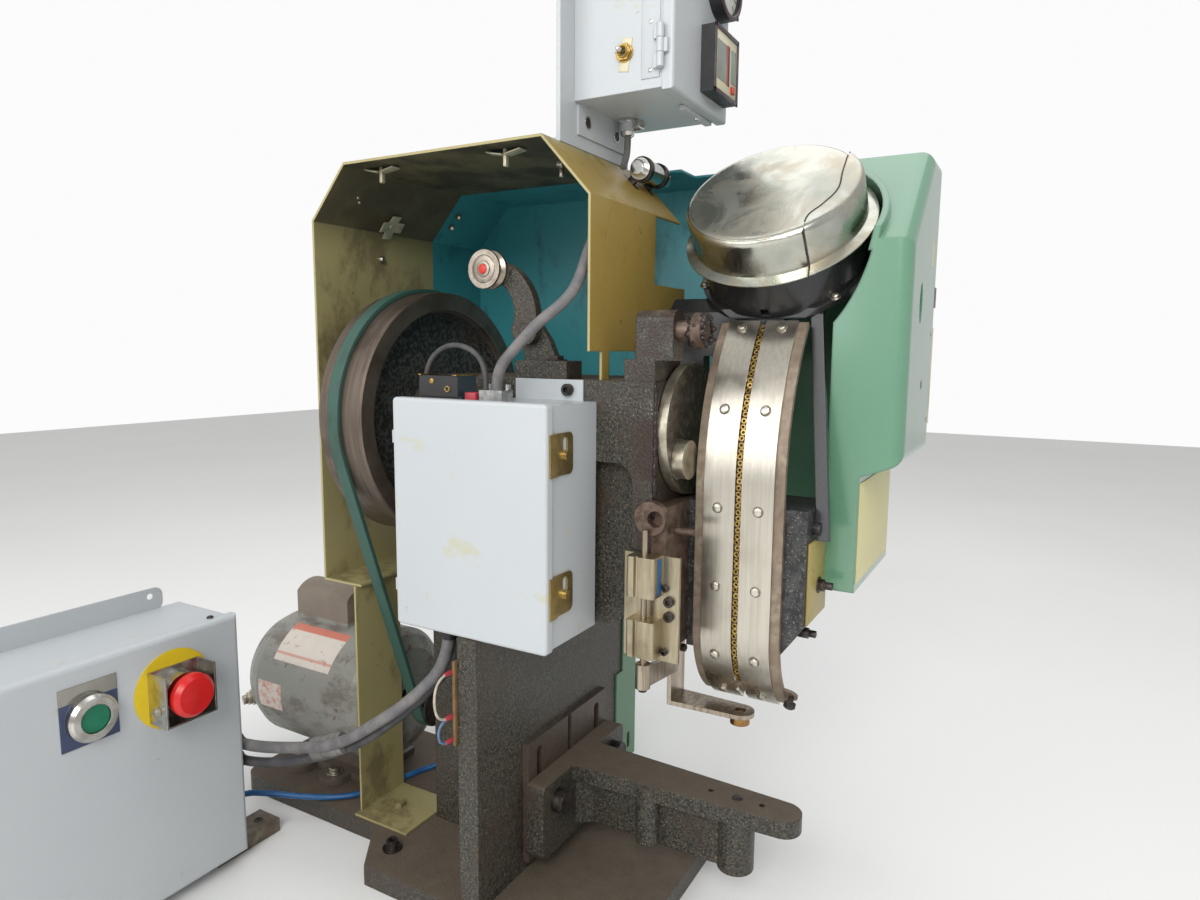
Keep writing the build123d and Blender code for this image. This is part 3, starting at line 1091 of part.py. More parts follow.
with BuildPart() as motor_pulley:
    pulley_w = PULLEY_Y[1] - PULLEY_Y[0]
    edge_w = (pulley_w - BELT_W) / 2 - 0.4
    turned((0, PULLEY_Y[0], MOTOR_Z), (0, 1, 0), [
        (0, 0), (PULLEY_RIM, 0), (PULLEY_RIM, edge_w), (PULLEY_R, edge_w), (PULLEY_R, pulley_w - edge_w),
        (PULLEY_RIM, pulley_w - edge_w), (PULLEY_RIM, pulley_w), (PULLEY_HUB_R, pulley_w),
        (PULLEY_HUB_R, pulley_w + 10),
        (MOTOR_SHAFT_R, pulley_w + 10), (MOTOR_SHAFT_R, MOTOR_Y[0] - PULLEY_Y[0] + 28),
        (0, MOTOR_Y[0] - PULLEY_Y[0] + 28)])
save(motor_pulley, "motor_pulley")

with BuildPart() as belt:
    rise = CRANK_Z - MOTOR_Z
    for growth, mode in ((BELT_T, Mode.ADD), (0.0, Mode.SUBTRACT)):
        big = WHEEL_R + SLIP + growth
        small = PULLEY_R + SLIP + growth
        lean = (big - small) / rise
        half = sqrt(1 - lean * lean)
        with BuildSketch(front_plane(BELT_Y + BELT_W / 2)):
            with BuildLine():
                Polyline(
                    (-big * half, CRANK_Z - big * lean), (-small * half, MOTOR_Z - small * lean),
                    (small * half, MOTOR_Z - small * lean), (big * half, CRANK_Z - big * lean), close=True)
            make_face()
            with Locations((0, CRANK_Z)):
                Circle(big)
            with Locations((0, MOTOR_Z)):
                Circle(small)
        extrude(amount=BELT_W, mode=mode)
save(belt, "belt")

# Control box on its post above the hood
with BuildPart() as control_post:
    block(POST_X, POST_Y, (COVER_TOP, POST_TOP))
    block(POST_X, (POST_Y[0], POST_Y[1] + 40), (COVER_TOP, COVER_TOP + 4))
save(control_post, "control_post")

control_hinge_y = CONTROL_Y[0]
control_hinges = (CONTROL_Z[0] + 18, CONTROL_Z[1] - 18 - 3 * KNUCKLE)
with BuildPart() as control_box:
    block(CONTROL_X, CONTROL_Y, CONTROL_Z)
    block((CONTROL_X[0] + BOX_WALL, CONTROL_X[1] - BOX_WALL), (CONTROL_Y[0] - 1, CONTROL_Y[1] - BOX_WALL),
          (CONTROL_Z[0] + BOX_WALL, CONTROL_Z[1] - BOX_WALL), Mode.SUBTRACT)
    block((-30, 82), (CONTROL_Y[1] - BOX_WALL, CONTROL_Y[1]), (884, CONTROL_Z[0] + 1))
    for x in (-10, 58):
        bar((x, CONTROL_Y[1] + 1, 901), (0, -1, 0), 6, 4, Mode.SUBTRACT)
    bar((*PIG_GLAND, CONTROL_Z[0]), (0, 0, -1), PIG_GLAND_R, PIG_GLAND_H)
    bar((CONTROL_X[0] + 4, TOGGLE_Y, TOGGLE_Z), (-1, 0, 0), TOGGLE_BALL_R + SLIP, 6, Mode.SUBTRACT)
    for z in control_hinges:
        for z0 in (z, z + 2 * KNUCKLE + 2 * SLIP):
            block((CONTROL_HINGE_X, CONTROL_X[0] + 1), (control_hinge_y, control_hinge_y + 8), (z0, z0 + KNUCKLE))
    hinge_halves(CONTROL_HINGE_X, control_hinge_y, control_hinges, False)
save(control_box, "control_box")

with BuildPart() as control_door:
    front = CONTROL_Y[0] - CONTROL_DOOR
    rim = (CONTROL_X[0] - 1, CONTROL_X[1] + 3)
    block(rim, (front, CONTROL_Y[0] - SLIP), (CONTROL_Z[0] - 3, CONTROL_Z[1] + 3))
    fillet(control_door.edges().group_by(Axis.Y)[0], 4)
    block((rim[0] + BOX_WALL, rim[1] - BOX_WALL), (front + BOX_WALL, CONTROL_Y[0]),
          (CONTROL_Z[0] - 1, CONTROL_Z[1] + 1), Mode.SUBTRACT)
    for z in control_hinges:
        block((CONTROL_HINGE_X, rim[0] + 1), (control_hinge_y - 8, control_hinge_y),
              (z + KNUCKLE + SLIP, z + 2 * KNUCKLE + SLIP))
    hinge_halves(CONTROL_HINGE_X, control_hinge_y, control_hinges, True)
save(control_door, "control_door")

with BuildPart() as door_instruments:
    block(TIMER_X, (front - TIMER_T, front), TIMER_Z)
    bar((GAUGE_X, front, GAUGE_Z), (0, -1, 0), GAUGE_R, 14)
    bar((GAUGE_X, front - 10, GAUGE_Z), (0, -1, 0), GAUGE_R - 6, 6, Mode.SUBTRACT)
save(door_instruments, "door_instruments")

with BuildPart() as toggle_lever:
    toggle_x = CONTROL_X[0] + BOX_WALL / 2
    bar((toggle_x, TOGGLE_Y, TOGGLE_Z), (-1, 0, 0), TOGGLE_R, TOGGLE_L)
    fillet(toggle_lever.edges().group_by(Axis.X)[0], TOGGLE_R - 0.3)
    with Locations((toggle_x, TOGGLE_Y, TOGGLE_Z)):
        Sphere(TOGGLE_BALL_R)
save(toggle_lever, "toggle_lever")

# Operator station with its two push buttons
station_front = STATION_Y[0]
station_back = STATION_Y[0] + STATION_DOOR
station_hinge_x = STATION_X[0] - HINGE_R
station_hinges = (STATION_Z[0] + 40, STATION_Z[1] - 40 - 3 * KNUCKLE)
with BuildPart() as station_body:
    body_x = (STATION_X[0] + 3, STATION_X[1] - 3)
    body_z = (STATION_Z[0] + 3, STATION_Z[1] - 3)
    block(body_x, (station_back, STATION_Y[1]), body_z)
    block((body_x[0] + STATION_WALL, body_x[1] - STATION_WALL), (station_back - 1, STATION_Y[1] - STATION_WALL),
          (body_z[0] + STATION_WALL, body_z[1] - STATION_WALL), Mode.SUBTRACT)
    with BuildSketch(front_plane(STATION_Y[1])):
        with Locations(((STATION_X[0] + STATION_X[1]) / 2, (body_z[1] + STATION_Z[1] + 24) / 2 - 1)):
            RectangleRounded(STATION_X[1] - STATION_X[0] - 50, 26 + STATION_Z[1] - body_z[1], 10)
        with Locations((STATION_X[1] - 41, STATION_Z[1] + 14), (STATION_X[0] + 41, STATION_Z[1] + 14)):
            Circle(4, mode=Mode.SUBTRACT)
    extrude(amount=STATION_WALL)
    for z in (MAIN_GLAND_Z, BRANCH_GLAND_Z):
        bar((body_x[1] - 1, ELBOW_Y + 24, z), (1, 0, 0), ELBOW_R - 1.5, ELBOW_X - body_x[1] + 1)
        bar((ELBOW_X, ELBOW_Y + 24 + ELBOW_R, z), (0, -1, 0), ELBOW_R, 24 + ELBOW_R)
    bar((body_x[1] - 1, *TUBE_PORT[1:]), (1, 0, 0), 7, TUBE_PORT[0] - body_x[1] + 1)
    for z in station_hinges:
        for z0 in (z, z + 2 * KNUCKLE + 2 * SLIP):
            block((station_hinge_x, body_x[0] + 1), (station_back, station_back + 6), (z0, z0 + KNUCKLE))
    hinge_halves(station_hinge_x, station_back, station_hinges, False)
save(station_body, "station_body")

with BuildPart() as station_door:
    block(STATION_X, (station_front, station_back - SLIP), STATION_Z)
    fillet(station_door.edges().group_by(Axis.Y)[0], 6)
    block((STATION_X[0] + STATION_WALL, STATION_X[1] - STATION_WALL), (station_front + STATION_WALL, station_back),
          (STATION_Z[0] + STATION_WALL, STATION_Z[1] - STATION_WALL), Mode.SUBTRACT)
    for x, z in ((START_X, START_Z), (STOP_BUTTON_X, STOP_BUTTON_Z)):
        bar((x, station_front - 1, z), (0, 1, 0), 11, 20, Mode.SUBTRACT)
    for z in station_hinges:
        block((station_hinge_x, STATION_X[0] + 1), (station_back - 6, station_back), (z + KNUCKLE + SLIP, z + 2 * KNUCKLE + SLIP))
    hinge_halves(station_hinge_x, station_back, station_hinges, True)
save(station_door, "station_door")

with BuildPart() as station_fittings:
    with BuildSketch(front_plane(station_front)):
        with Locations((START_X, START_Z + 4)):
            Rectangle(58, 66)
    extrude(amount=1.2)
    turned((START_X, station_front - 1, START_Z), (0, -1, 0), [
        (15, 0), (25, 0), (25, 8), (22, 12), (15, 12)])
    bar((STOP_BUTTON_X, station_front, STOP_BUTTON_Z), (0, -1, 0), 45, 1.2)
    turned((STOP_BUTTON_X, station_front - 1, STOP_BUTTON_Z), (0, -1, 0), [
        (11, 0), (22, 0), (22, 20), (11, 20)])
    block((STOP_BUTTON_X - 30, STOP_BUTTON_X + 30), (station_front - 4, station_front - 1), (STOP_BUTTON_Z - 30, STOP_BUTTON_Z + 28))
    for side in (-1, 1):
        cheek = sorted((STOP_BUTTON_X + side * 30, STOP_BUTTON_X + side * 28))
        block(cheek, (station_front - 34, station_front - 1), (STOP_BUTTON_Z - 30, STOP_BUTTON_Z + 28))
    block((STOP_BUTTON_X - 30, STOP_BUTTON_X + 30), (station_front - 34, station_front - 1), (STOP_BUTTON_Z - 30, STOP_BUTTON_Z - 28))
    for x, z in ((START_X, START_Z), (STOP_BUTTON_X, STOP_BUTTON_Z)):
        bar((x, station_front - 1, z), (0, 1, 0), 11 - SLIP, 30)
        bar((x, station_front + 40, z), (0, -1, 0), 8, 60, Mode.SUBTRACT)
save(station_fittings, "station_fittings")

with BuildPart() as start_button:
    turned((START_X, station_front + 24, START_Z), (0, -1, 0), [
        (0, 0), (8 - SLIP, 0), (8 - SLIP, 29), (15 - SLIP, 29), (15 - SLIP, 34.5), (0, 34.5)])
save(start_button, "start_button")

with BuildPart() as estop_button:
    turned((STOP_BUTTON_X, station_front + 24, STOP_BUTTON_Z), (0, -1, 0), [
        (0, 0), (8 - SLIP, 0), (8 - SLIP, 52), (20, 52), (24.5, 56), (24.5, 62), (20, 67), (0, 68)])
save(estop_button, "estop_button")

with BuildPart() as station_foot:
    block((STATION_X[0] - STATION_BAR_OUT, STATION_X[0] + 30), STATION_BAR_Y, (0, body_z[0]))
    block((STATION_X[1] - 30, STATION_X[1] + STATION_BAR_OUT), STATION_BAR_Y, (0, body_z[0]))
save(station_foot, "station_foot")

# Cables
cable([(-150, 46, BOX_Z[0]), (-150, 46, 296), (-168, 88, 246), (-179, 132, 212), (-186, 192, 171), (-194, 256, 154),
       (ELBOW_X, 322, MAIN_GLAND_Z), (ELBOW_X, ELBOW_Y, MAIN_GLAND_Z)], 7, "conduit_main")
cable([(-136, 46, BOX_Z[0]), (-136, 46, 294), (-153, 86, 243), (-166, 126, 206), (-174, 186, 162), (-186, 258, 134),
       (ELBOW_X, 318, BRANCH_GLAND_Z), (ELBOW_X, ELBOW_Y, BRANCH_GLAND_Z)], 6, "conduit_branch")
cable([(-136, -12, BOX_Z[1] + 12), (-136, -12, 624), (-133, -34, 648), (-126, -60, 676), (-116, -80, 692),
       (-103, -91, 712), (-90, -94, 742), (-60, -89, 774), (-25, -74, 796), (0, -59.5, 813.2), (0, -77.8, 830.1)],
      6, "hood_cable")
cable([(-139, 0, BOX_Z[1] + 12), (-139, 0, 622), (-138, 11, 641), (-136, 36, 651), (-134, 62, 649), (-132, 84, 634),
       (-131, 92, 612), (-131, 92, BOX_Z[1])], 3, "thin_cable")
cable([(TUBE_PORT[0], TUBE_PORT[1], TUBE_PORT[2]), (-180, TUBE_PORT[1], 50), (-150, 372, 38), (-122, 334, 29.5),
       (-96, 286, 29.5), (-58, 262, 29.5), (-14, 250, 31), (24, 228, 36), (46, 198, 46), (46, PED_REAR, 46)],
      4, "blue_tube")
pig_top = CONTROL_Z[0] - PIG_GLAND_H
cable([(*PIG_GLAND, pig_top), (*PIG_GLAND, pig_top - 16), (50, -66, pig_top - 32), (38, -68, pig_top - 44)],
      4, "pigtail")
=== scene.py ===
from math import cos, pi, radians, sin

import bmesh
import bpy
from mathutils import Matrix, Vector
from mathutils.geometry import interpolate_bezier


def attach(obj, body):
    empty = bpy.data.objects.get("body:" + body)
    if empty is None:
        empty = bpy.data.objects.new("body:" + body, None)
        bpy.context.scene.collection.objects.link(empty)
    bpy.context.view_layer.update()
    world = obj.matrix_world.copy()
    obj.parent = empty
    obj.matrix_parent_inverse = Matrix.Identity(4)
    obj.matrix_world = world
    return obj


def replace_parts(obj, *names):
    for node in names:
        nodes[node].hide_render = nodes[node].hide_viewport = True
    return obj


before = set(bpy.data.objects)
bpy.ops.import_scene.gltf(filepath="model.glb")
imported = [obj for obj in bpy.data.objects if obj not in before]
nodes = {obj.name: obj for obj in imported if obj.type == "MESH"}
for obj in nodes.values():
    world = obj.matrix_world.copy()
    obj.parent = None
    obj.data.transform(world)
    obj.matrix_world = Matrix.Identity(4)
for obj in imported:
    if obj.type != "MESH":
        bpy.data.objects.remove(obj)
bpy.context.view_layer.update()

# Eyelet punch press: finishes and small details round the modelled parts. Metres.

# ---------------------------------------------------------------- view
EYE = Vector((-0.824, -0.528, 0.649))
HEADING = -60.5
LOOK_DOWN = 7.3
ROLL = 0.5
LENS = 24.0


def photo_camera():
    """The camera at the photograph's viewpoint."""
    data = bpy.data.cameras.new("camera")
    data.sensor_width = 36.0
    data.lens = LENS
    data.clip_start = 0.01
    data.clip_end = 50.0
    camera = bpy.data.objects.new("camera", data)
    turn = Matrix.Rotation(radians(HEADING), 4, "Z") @ Matrix.Rotation(radians(90 - LOOK_DOWN), 4, "X")
    camera.matrix_world = Matrix.Translation(EYE) @ turn @ Matrix.Rotation(radians(ROLL), 4, "Z")
    bpy.context.scene.collection.objects.link(camera)
    bpy.context.scene.camera = camera


def soft_lamp(name, place, target, size, watts, colour=(1.0, 1.0, 1.0)):
    """A square soft lamp aimed at a point."""
    data = bpy.data.lights.new(name, "AREA")
    data.shape = "SQUARE"
    data.size = size
    data.energy = watts
    data.color = colour
    lamp = bpy.data.objects.new(name, data)
    aim = (Vector(target) - Vector(place)).to_track_quat("-Z", "Y")
    lamp.matrix_world = Matrix.Translation(place) @ aim.to_matrix().to_4x4()
    bpy.context.scene.collection.objects.link(lamp)


class Graph:
    """A material's nodes, wired by short calls."""

    def __init__(self, name, rough=0.5, metal=0.0, coat=0.0, coat_rough=0.1, specular=0.5):
        self.material = bpy.data.materials.new(name)
        self.material.use_nodes = True
        self.tree = self.material.node_tree
        self.shader = self.tree.nodes["Principled BSDF"]
        self.fill(self.shader, Roughness=rough, Metallic=metal, Coat_Weight=coat, Coat_Roughness=coat_rough,
                  Specular_IOR_Level=specular)
        self.place = self.node("TexCoord").outputs["Object"]
        self.normal = None

    def value(self, socket, given):
        """Set a socket to a number or colour, or wire it to another node's output."""
        if isinstance(given, bpy.types.NodeSocket):
            self.tree.links.new(given, socket)
        elif isinstance(given, tuple) and socket.type == "RGBA":
            socket.default_value = (*given, 1.0)
        else:
            socket.default_value = given

    def fill(self, node, **inputs):
        """Set or wire a node's sockets by their names, with _ for a blank; None leaves one as it is."""
        for name, given in inputs.items():
            if given is not None:
                self.value(node.inputs[name.replace("_", " ")], given)

    def node(self, kind, **inputs):
        node = self.tree.nodes.new("ShaderNode" + kind)
        self.fill(node, **inputs)
        return node

    def stretched(self, scale, turn=(0.0, 0.0, 0.0)):
        """The object's own coordinates, stretched so that a pattern runs in lines."""
        return self.node("Mapping", Scale=scale, Rotation=turn, Vector=self.place).outputs["Vector"]

    def noise(self, scale, detail=4.0, rough=0.55, place=None, distortion=0.0):
        node = self.node("TexNoise", Scale=scale, Detail=detail, Roughness=rough, Distortion=distortion,
                         Vector=place or self.place)
        return node.outputs["Fac"]

    def cells(self, scale):
        return self.node("TexVoronoi", Scale=scale, Vector=self.place).outputs["Distance"]

    def step(self, value, low, high):
        """A smooth step from 0 at low to 1 at high."""
        rises = low < high
        node = self.node("MapRange")
        node.interpolation_type = "SMOOTHSTEP"
        self.fill(node, Value=value, From_Min=min(low, high), From_Max=max(low, high),
                  To_Min=0.0 if rises else 1.0, To_Max=1.0 if rises else 0.0)
        return node.outputs["Result"]

    def maths(self, kind, a, b=0.0, c=0.0):
        node = self.node("Math")
        node.operation = kind
        for socket, given in zip(node.inputs, (a, b, c)):
            self.value(socket, given)
        return node.outputs["Value"]

    def times(self, a, b):
        return self.maths("MULTIPLY", a, b)

    def blend(self, mask, a, b):
        """Colour a where the mask is 0 and colour b where it is 1."""
        node = self.node("Mix")
        node.data_type = "RGBA"
        for index, given in ((0, mask), (6, a), (7, b)):
            self.value(node.inputs[index], given)
        return node.outputs[2]

    def over(self, under, mask, much, tone):
        """A colour with a tone laid over it, as far as the mask and its strength say."""
        return self.blend(self.times(mask, much), under, tone)

    def mix(self, mask, a, b):
        """Number a where the mask is 0 and number b where it is 1."""
        node = self.node("Mix")
        for index, given in ((0, mask), (2, a), (3, b)):
            self.value(node.inputs[index], given)
        return node.outputs[0]

    def axis(self, letter):
        return self.node("SeparateXYZ", Vector=self.place).outputs[letter]

    def facing(self, letter):
        """How far the surface faces along an axis."""
        normal = self.node("NewGeometry").outputs["True Normal"]
        return self.node("SeparateXYZ", Vector=normal).outputs[letter]

    def ring(self, x, z):
        """Distance from a line along Y."""
        dx = self.maths("SUBTRACT", self.axis("X"), x)
        dz = self.maths("SUBTRACT", self.axis("Z"), z)
        return self.maths("SQRT", self.maths("ADD", self.times(dx, dx), self.times(dz, dz)))

    def between(self, value, low, high, soft=0.0006):
        """1 between two values, with soft ends."""
        above = self.step(value, low - soft, low + soft)
        return self.times(above, self.step(value, high + soft, high - soft))

    def edges(self, radius):
        """Rounded edges in the shading."""
        node = self.node("Bevel", Radius=radius)
        node.samples = 4
        self.normal = node.outputs["Normal"]

    def bump(self, height, strength, distance):
        node = self.node("Bump", Strength=strength, Distance=distance, Height=height, Normal=self.normal)
        self.normal = node.outputs["Normal"]

    def done(self, colour, rough=None, metal=None):
        self.fill(self.shader, Base_Color=colour, Roughness=rough, Metallic=metal, Normal=self.normal)
        return self.material


# ---------------------------------------------------------------- finishes
def hammertone():
    """Grey-green hammer enamel with golden flecks, brown dust on what faces up."""
    g = Graph("hammertone", specular=0.45)
    cells = g.cells(420.0)
    wavy = g.noise(330.0, 3.0, 0.62, distortion=0.5)
    dark = g.blend(g.step(wavy, 0.4, 0.62), (0.02, 0.02, 0.017), (0.074, 0.068, 0.053))
    flecks = g.times(g.step(cells, 0.34, 0.14), g.step(g.noise(650.0, 2.0), 0.5, 0.62))
    flecked = g.blend(flecks, dark, (0.37, 0.32, 0.19))
    grime = g.step(g.noise(11.0, 6.0, 0.66), 0.44, 0.64)
    grimy = g.over(flecked, grime, 0.62, (0.052, 0.036, 0.025))
    up = g.step(g.facing("Z"), 0.55, 0.95)
    dust_tone = g.blend(g.noise(60.0, 5.0), (0.094, 0.072, 0.05), (0.15, 0.118, 0.086))
    dusty = g.over(grimy, up, 0.86, dust_tone)
    oil = g.times(g.step(g.axis("Y"), -0.128, -0.168), g.step(g.axis("Z"), 0.345, 0.4))
    oily = g.over(dusty, oil, g.step(g.noise(34.0, 5.0), 0.36, 0.56), (0.036, 0.021, 0.016))
    pads = g.times(g.step(g.axis("Y"), -0.0138, -0.0145), g.between(g.axis("Z"), 0.034, 0.188))
    pads = g.times(pads, g.step(g.axis("Y"), -0.024, -0.0212))
    machined = g.blend(g.noise(90.0, 4.0), (0.05, 0.036, 0.027), (0.086, 0.064, 0.048))
    final = g.blend(pads, oily, machined)
    g.edges(0.0022)
    g.bump(g.maths("ADD", g.times(cells, 0.6), wavy), 0.42, 0.0011)
    rough = g.mix(up, g.mix(wavy, 0.3, 0.52), 0.78)
    return g.done(final, g.mix(oil, rough, 0.28))


def enamel(name, tone, shade, rough, dirt, dirt_from=0.6, dirt_much=0.55, rust=0.0, round_edge=0.0015,
           scale=14.0, coat=0.0):
    """Painted sheet metal: two close tones, streaks of dirt and rust spots."""
    g = Graph(name, coat=coat, coat_rough=0.12)
    paint = g.blend(g.noise(scale * 0.35, 3.0), tone, shade)
    smear = g.noise(scale, 7.0, 0.66, place=g.stretched((1.0, 1.0, 0.45)))
    mask = g.times(g.step(smear, dirt_from, dirt_from + 0.13), dirt_much)
    colour = g.blend(mask, paint, dirt)
    fine = g.step(g.noise(scale * 22, 3.0, 0.6), 0.66, 0.72)
    colour = g.over(colour, fine, 0.35 * dirt_much, dirt)
    worn = g.times(mask, 0.6)
    if rust:
        spots = g.times(g.step(g.noise(scale * 3.2, 6.0, 0.7), 0.62, 0.7), rust)
        colour = g.blend(spots, colour, (0.16, 0.065, 0.025))
        worn = g.maths("MAXIMUM", worn, spots)
    g.edges(round_edge)
    g.bump(g.noise(scale * 18, 2.0), 0.1, 0.0006)
    return g.done(colour, g.mix(worn, g.mix(smear, rough, rough + 0.1), min(1.0, rough + 0.45)))


def box_paint():
    """Light blue-grey enclosure enamel with scuffs, yellowed stains and small pits."""
    g = Graph("box_paint")
    paint = g.blend(g.noise(5.0, 3.0), (0.445, 0.478, 0.505), (0.51, 0.532, 0.545))
    stain_place = g.stretched((1.0, 1.0, 2.2), (0.0, 0.3, 0.0))
    stain = g.times(g.step(g.noise(13.0, 6.0, 0.62, place=stain_place), 0.63, 0.72), 0.62)
    colour = g.blend(stain, paint, (0.47, 0.455, 0.28))
    scuffs = g.times(g.step(g.noise(46.0, 6.0, 0.7), 0.675, 0.72), 0.5)
    colour = g.blend(scuffs, colour, (0.235, 0.195, 0.155))
    pits = g.times(g.step(g.noise(230.0, 2.0, 0.6), 0.79, 0.81), 0.6)
    colour = g.blend(pits, colour, (0.16, 0.12, 0.09))
    g.edges(0.0014)
    g.bump(g.noise(320.0, 2.0), 0.06, 0.0005)
    return g.done(colour, g.mix(g.maths("MAXIMUM", stain, scuffs), 0.34, 0.62))


def brushed(name, tone, shade, rough, grain=(260.0, 260.0, 9.0), dirt=0.25, dirt_tone=(0.14, 0.09, 0.05)):
    """Metal ground in one direction, with finger marks and a little dirt."""
    g = Graph(name, metal=1.0)
    lines = g.noise(1.0, 3.0, 0.6, place=g.stretched(grain))
    cloud = g.noise(22.0, 5.0, 0.6)
    colour = g.blend(g.step(lines, 0.3, 0.7), shade, tone)
    grime = g.times(g.step(cloud, 0.54, 0.74), dirt)
    colour = g.blend(grime, colour, dirt_tone)
    g.edges(0.0008)
    g.bump(lines, 0.1, 0.0003)
    spread = g.maths("MULTIPLY_ADD", cloud, 0.16, rough - 0.06)
    return g.done(colour, g.mix(grime, spread, 0.65), g.mix(grime, 1.0, 0.55))


def oiled_iron(name, tone, shade, grease=(0.075, 0.038, 0.02), much=0.55, rough=0.42, metal=0.65,
               speckle=0.0):
    """Bare dark iron under oil, with brown grease in patches."""
    g = Graph(name, metal=metal)
    cloud = g.noise(30.0, 6.0, 0.64)
    colour = g.blend(g.step(g.noise(120.0, 4.0), 0.35, 0.66), shade, tone)
    patch = g.times(g.step(cloud, 0.46, 0.6), much)
    colour = g.blend(patch, colour, grease)
    if speckle:
        flecks = g.times(g.step(g.noise(430.0, 2.0), 0.6, 0.68), speckle)
        colour = g.blend(flecks, colour, (0.3, 0.29, 0.26))
    g.edges(0.0011)
    g.bump(g.noise(170.0, 4.0), 0.22, 0.0006)
    return g.done(colour, g.mix(patch, g.maths("MULTIPLY_ADD", cloud, 0.22, rough - 0.1), rough + 0.2),
                  g.mix(patch, metal, metal * 0.35))


def hood_sheet():
    """Olive-yellow sheet enamel: painted shade under the top and high on the inner wall, rust specks, pale
    cut edges.
    """
    g = Graph("hood_olive")
    paint = g.blend(g.noise(5.0, 3.0), (0.3, 0.26, 0.115), (0.385, 0.335, 0.16))
    smear = g.noise(12.0, 7.0, 0.68, place=g.stretched((1.0, 1.0, 0.6)))
    mask = g.times(g.step(smear, 0.5, 0.64), 0.6)
    colour = g.blend(mask, paint, (0.085, 0.062, 0.03))
    front = g.times(g.step(g.facing("Y"), -0.4, -0.6), g.step(g.axis("Y"), -0.04, -0.06))
    colour = g.over(colour, front, 0.8, (0.33, 0.215, 0.036))
    # painted shade: faces that look down, under the hood's top, are darkened
    down = g.step(g.facing("Z"), -0.25, -0.8)
    underside_shade = g.times(down, g.mix(g.step(g.noise(17.0, 5.0), 0.4, 0.62), 0.72, 0.95))
    colour = g.blend(underside_shade, colour, (0.03, 0.026, 0.016))
    # painted shade: the inner face of the hood's rear wall is darkened towards its top, under the hood's roof
    inside = g.times(g.step(g.facing("Y"), -0.25, -0.6), g.step(g.axis("Y"), 0.15, 0.2))
    low = g.times(inside, g.step(g.axis("Z"), 0.76, 0.82))
    colour = g.over(colour, low, 0.55, (0.055, 0.046, 0.026))
    spots = g.times(g.step(g.noise(70.0, 5.0, 0.7), 0.655, 0.7), 0.75)
    colour = g.blend(spots, colour, (0.095, 0.045, 0.02))
    rim = g.times(g.step(g.facing("X"), -0.8, -0.95), g.step(g.axis("X"), -0.0985, -0.0995))
    colour = g.over(colour, rim, 0.75, (0.42, 0.365, 0.17))
    g.edges(0.0018)
    g.bump(g.noise(240.0, 2.0), 0.12, 0.0005)
    return g.done(colour, g.mix(g.maths("MAXIMUM", mask, underside_shade), 0.34, 0.66))


def push_button_plates():
    """Plated rings and yoke, a yellow disc round the red button, a two-tone plate round the green one."""
    g = Graph("station_plates", metal=1.0)
    plate = g.blend(g.step(g.noise(70.0, 4.0), 0.35, 0.65), (0.62, 0.61, 0.58), (0.44, 0.42, 0.38))
    flat = g.between(g.axis("Y"), 0.3157, 0.3172, soft=0.00008)
    disc = g.times(flat, g.step(g.ring(-0.308, 0.262), 0.0455, 0.0452))
    legend = g.times(flat, g.step(g.axis("X"), -0.369, -0.3692))
    top = g.step(g.axis("Z"), 0.286, 0.2864)
    blue = g.blend(g.noise(40.0, 3.0), (0.03, 0.045, 0.105), (0.05, 0.065, 0.13))
    grey = g.blend(g.noise(90.0, 4.0), (0.42, 0.41, 0.37), (0.33, 0.32, 0.28))
    yellow = g.blend(g.noise(30.0, 4.0), (0.76, 0.56, 0.01), (0.64, 0.45, 0.015))
    colour = g.blend(legend, plate, g.blend(top, blue, grey))
    colour = g.blend(disc, colour, yellow)
    paint = g.maths("MAXIMUM", disc, g.times(legend, g.maths("SUBTRACT", 1.0, top)))
    g.edges(0.0007)
    g.bump(g.noise(260.0, 2.0), 0.05, 0.0003)
    return g.done(colour, g.mix(paint, 0.24, 0.42), g.maths("SUBTRACT", 1.0, paint))


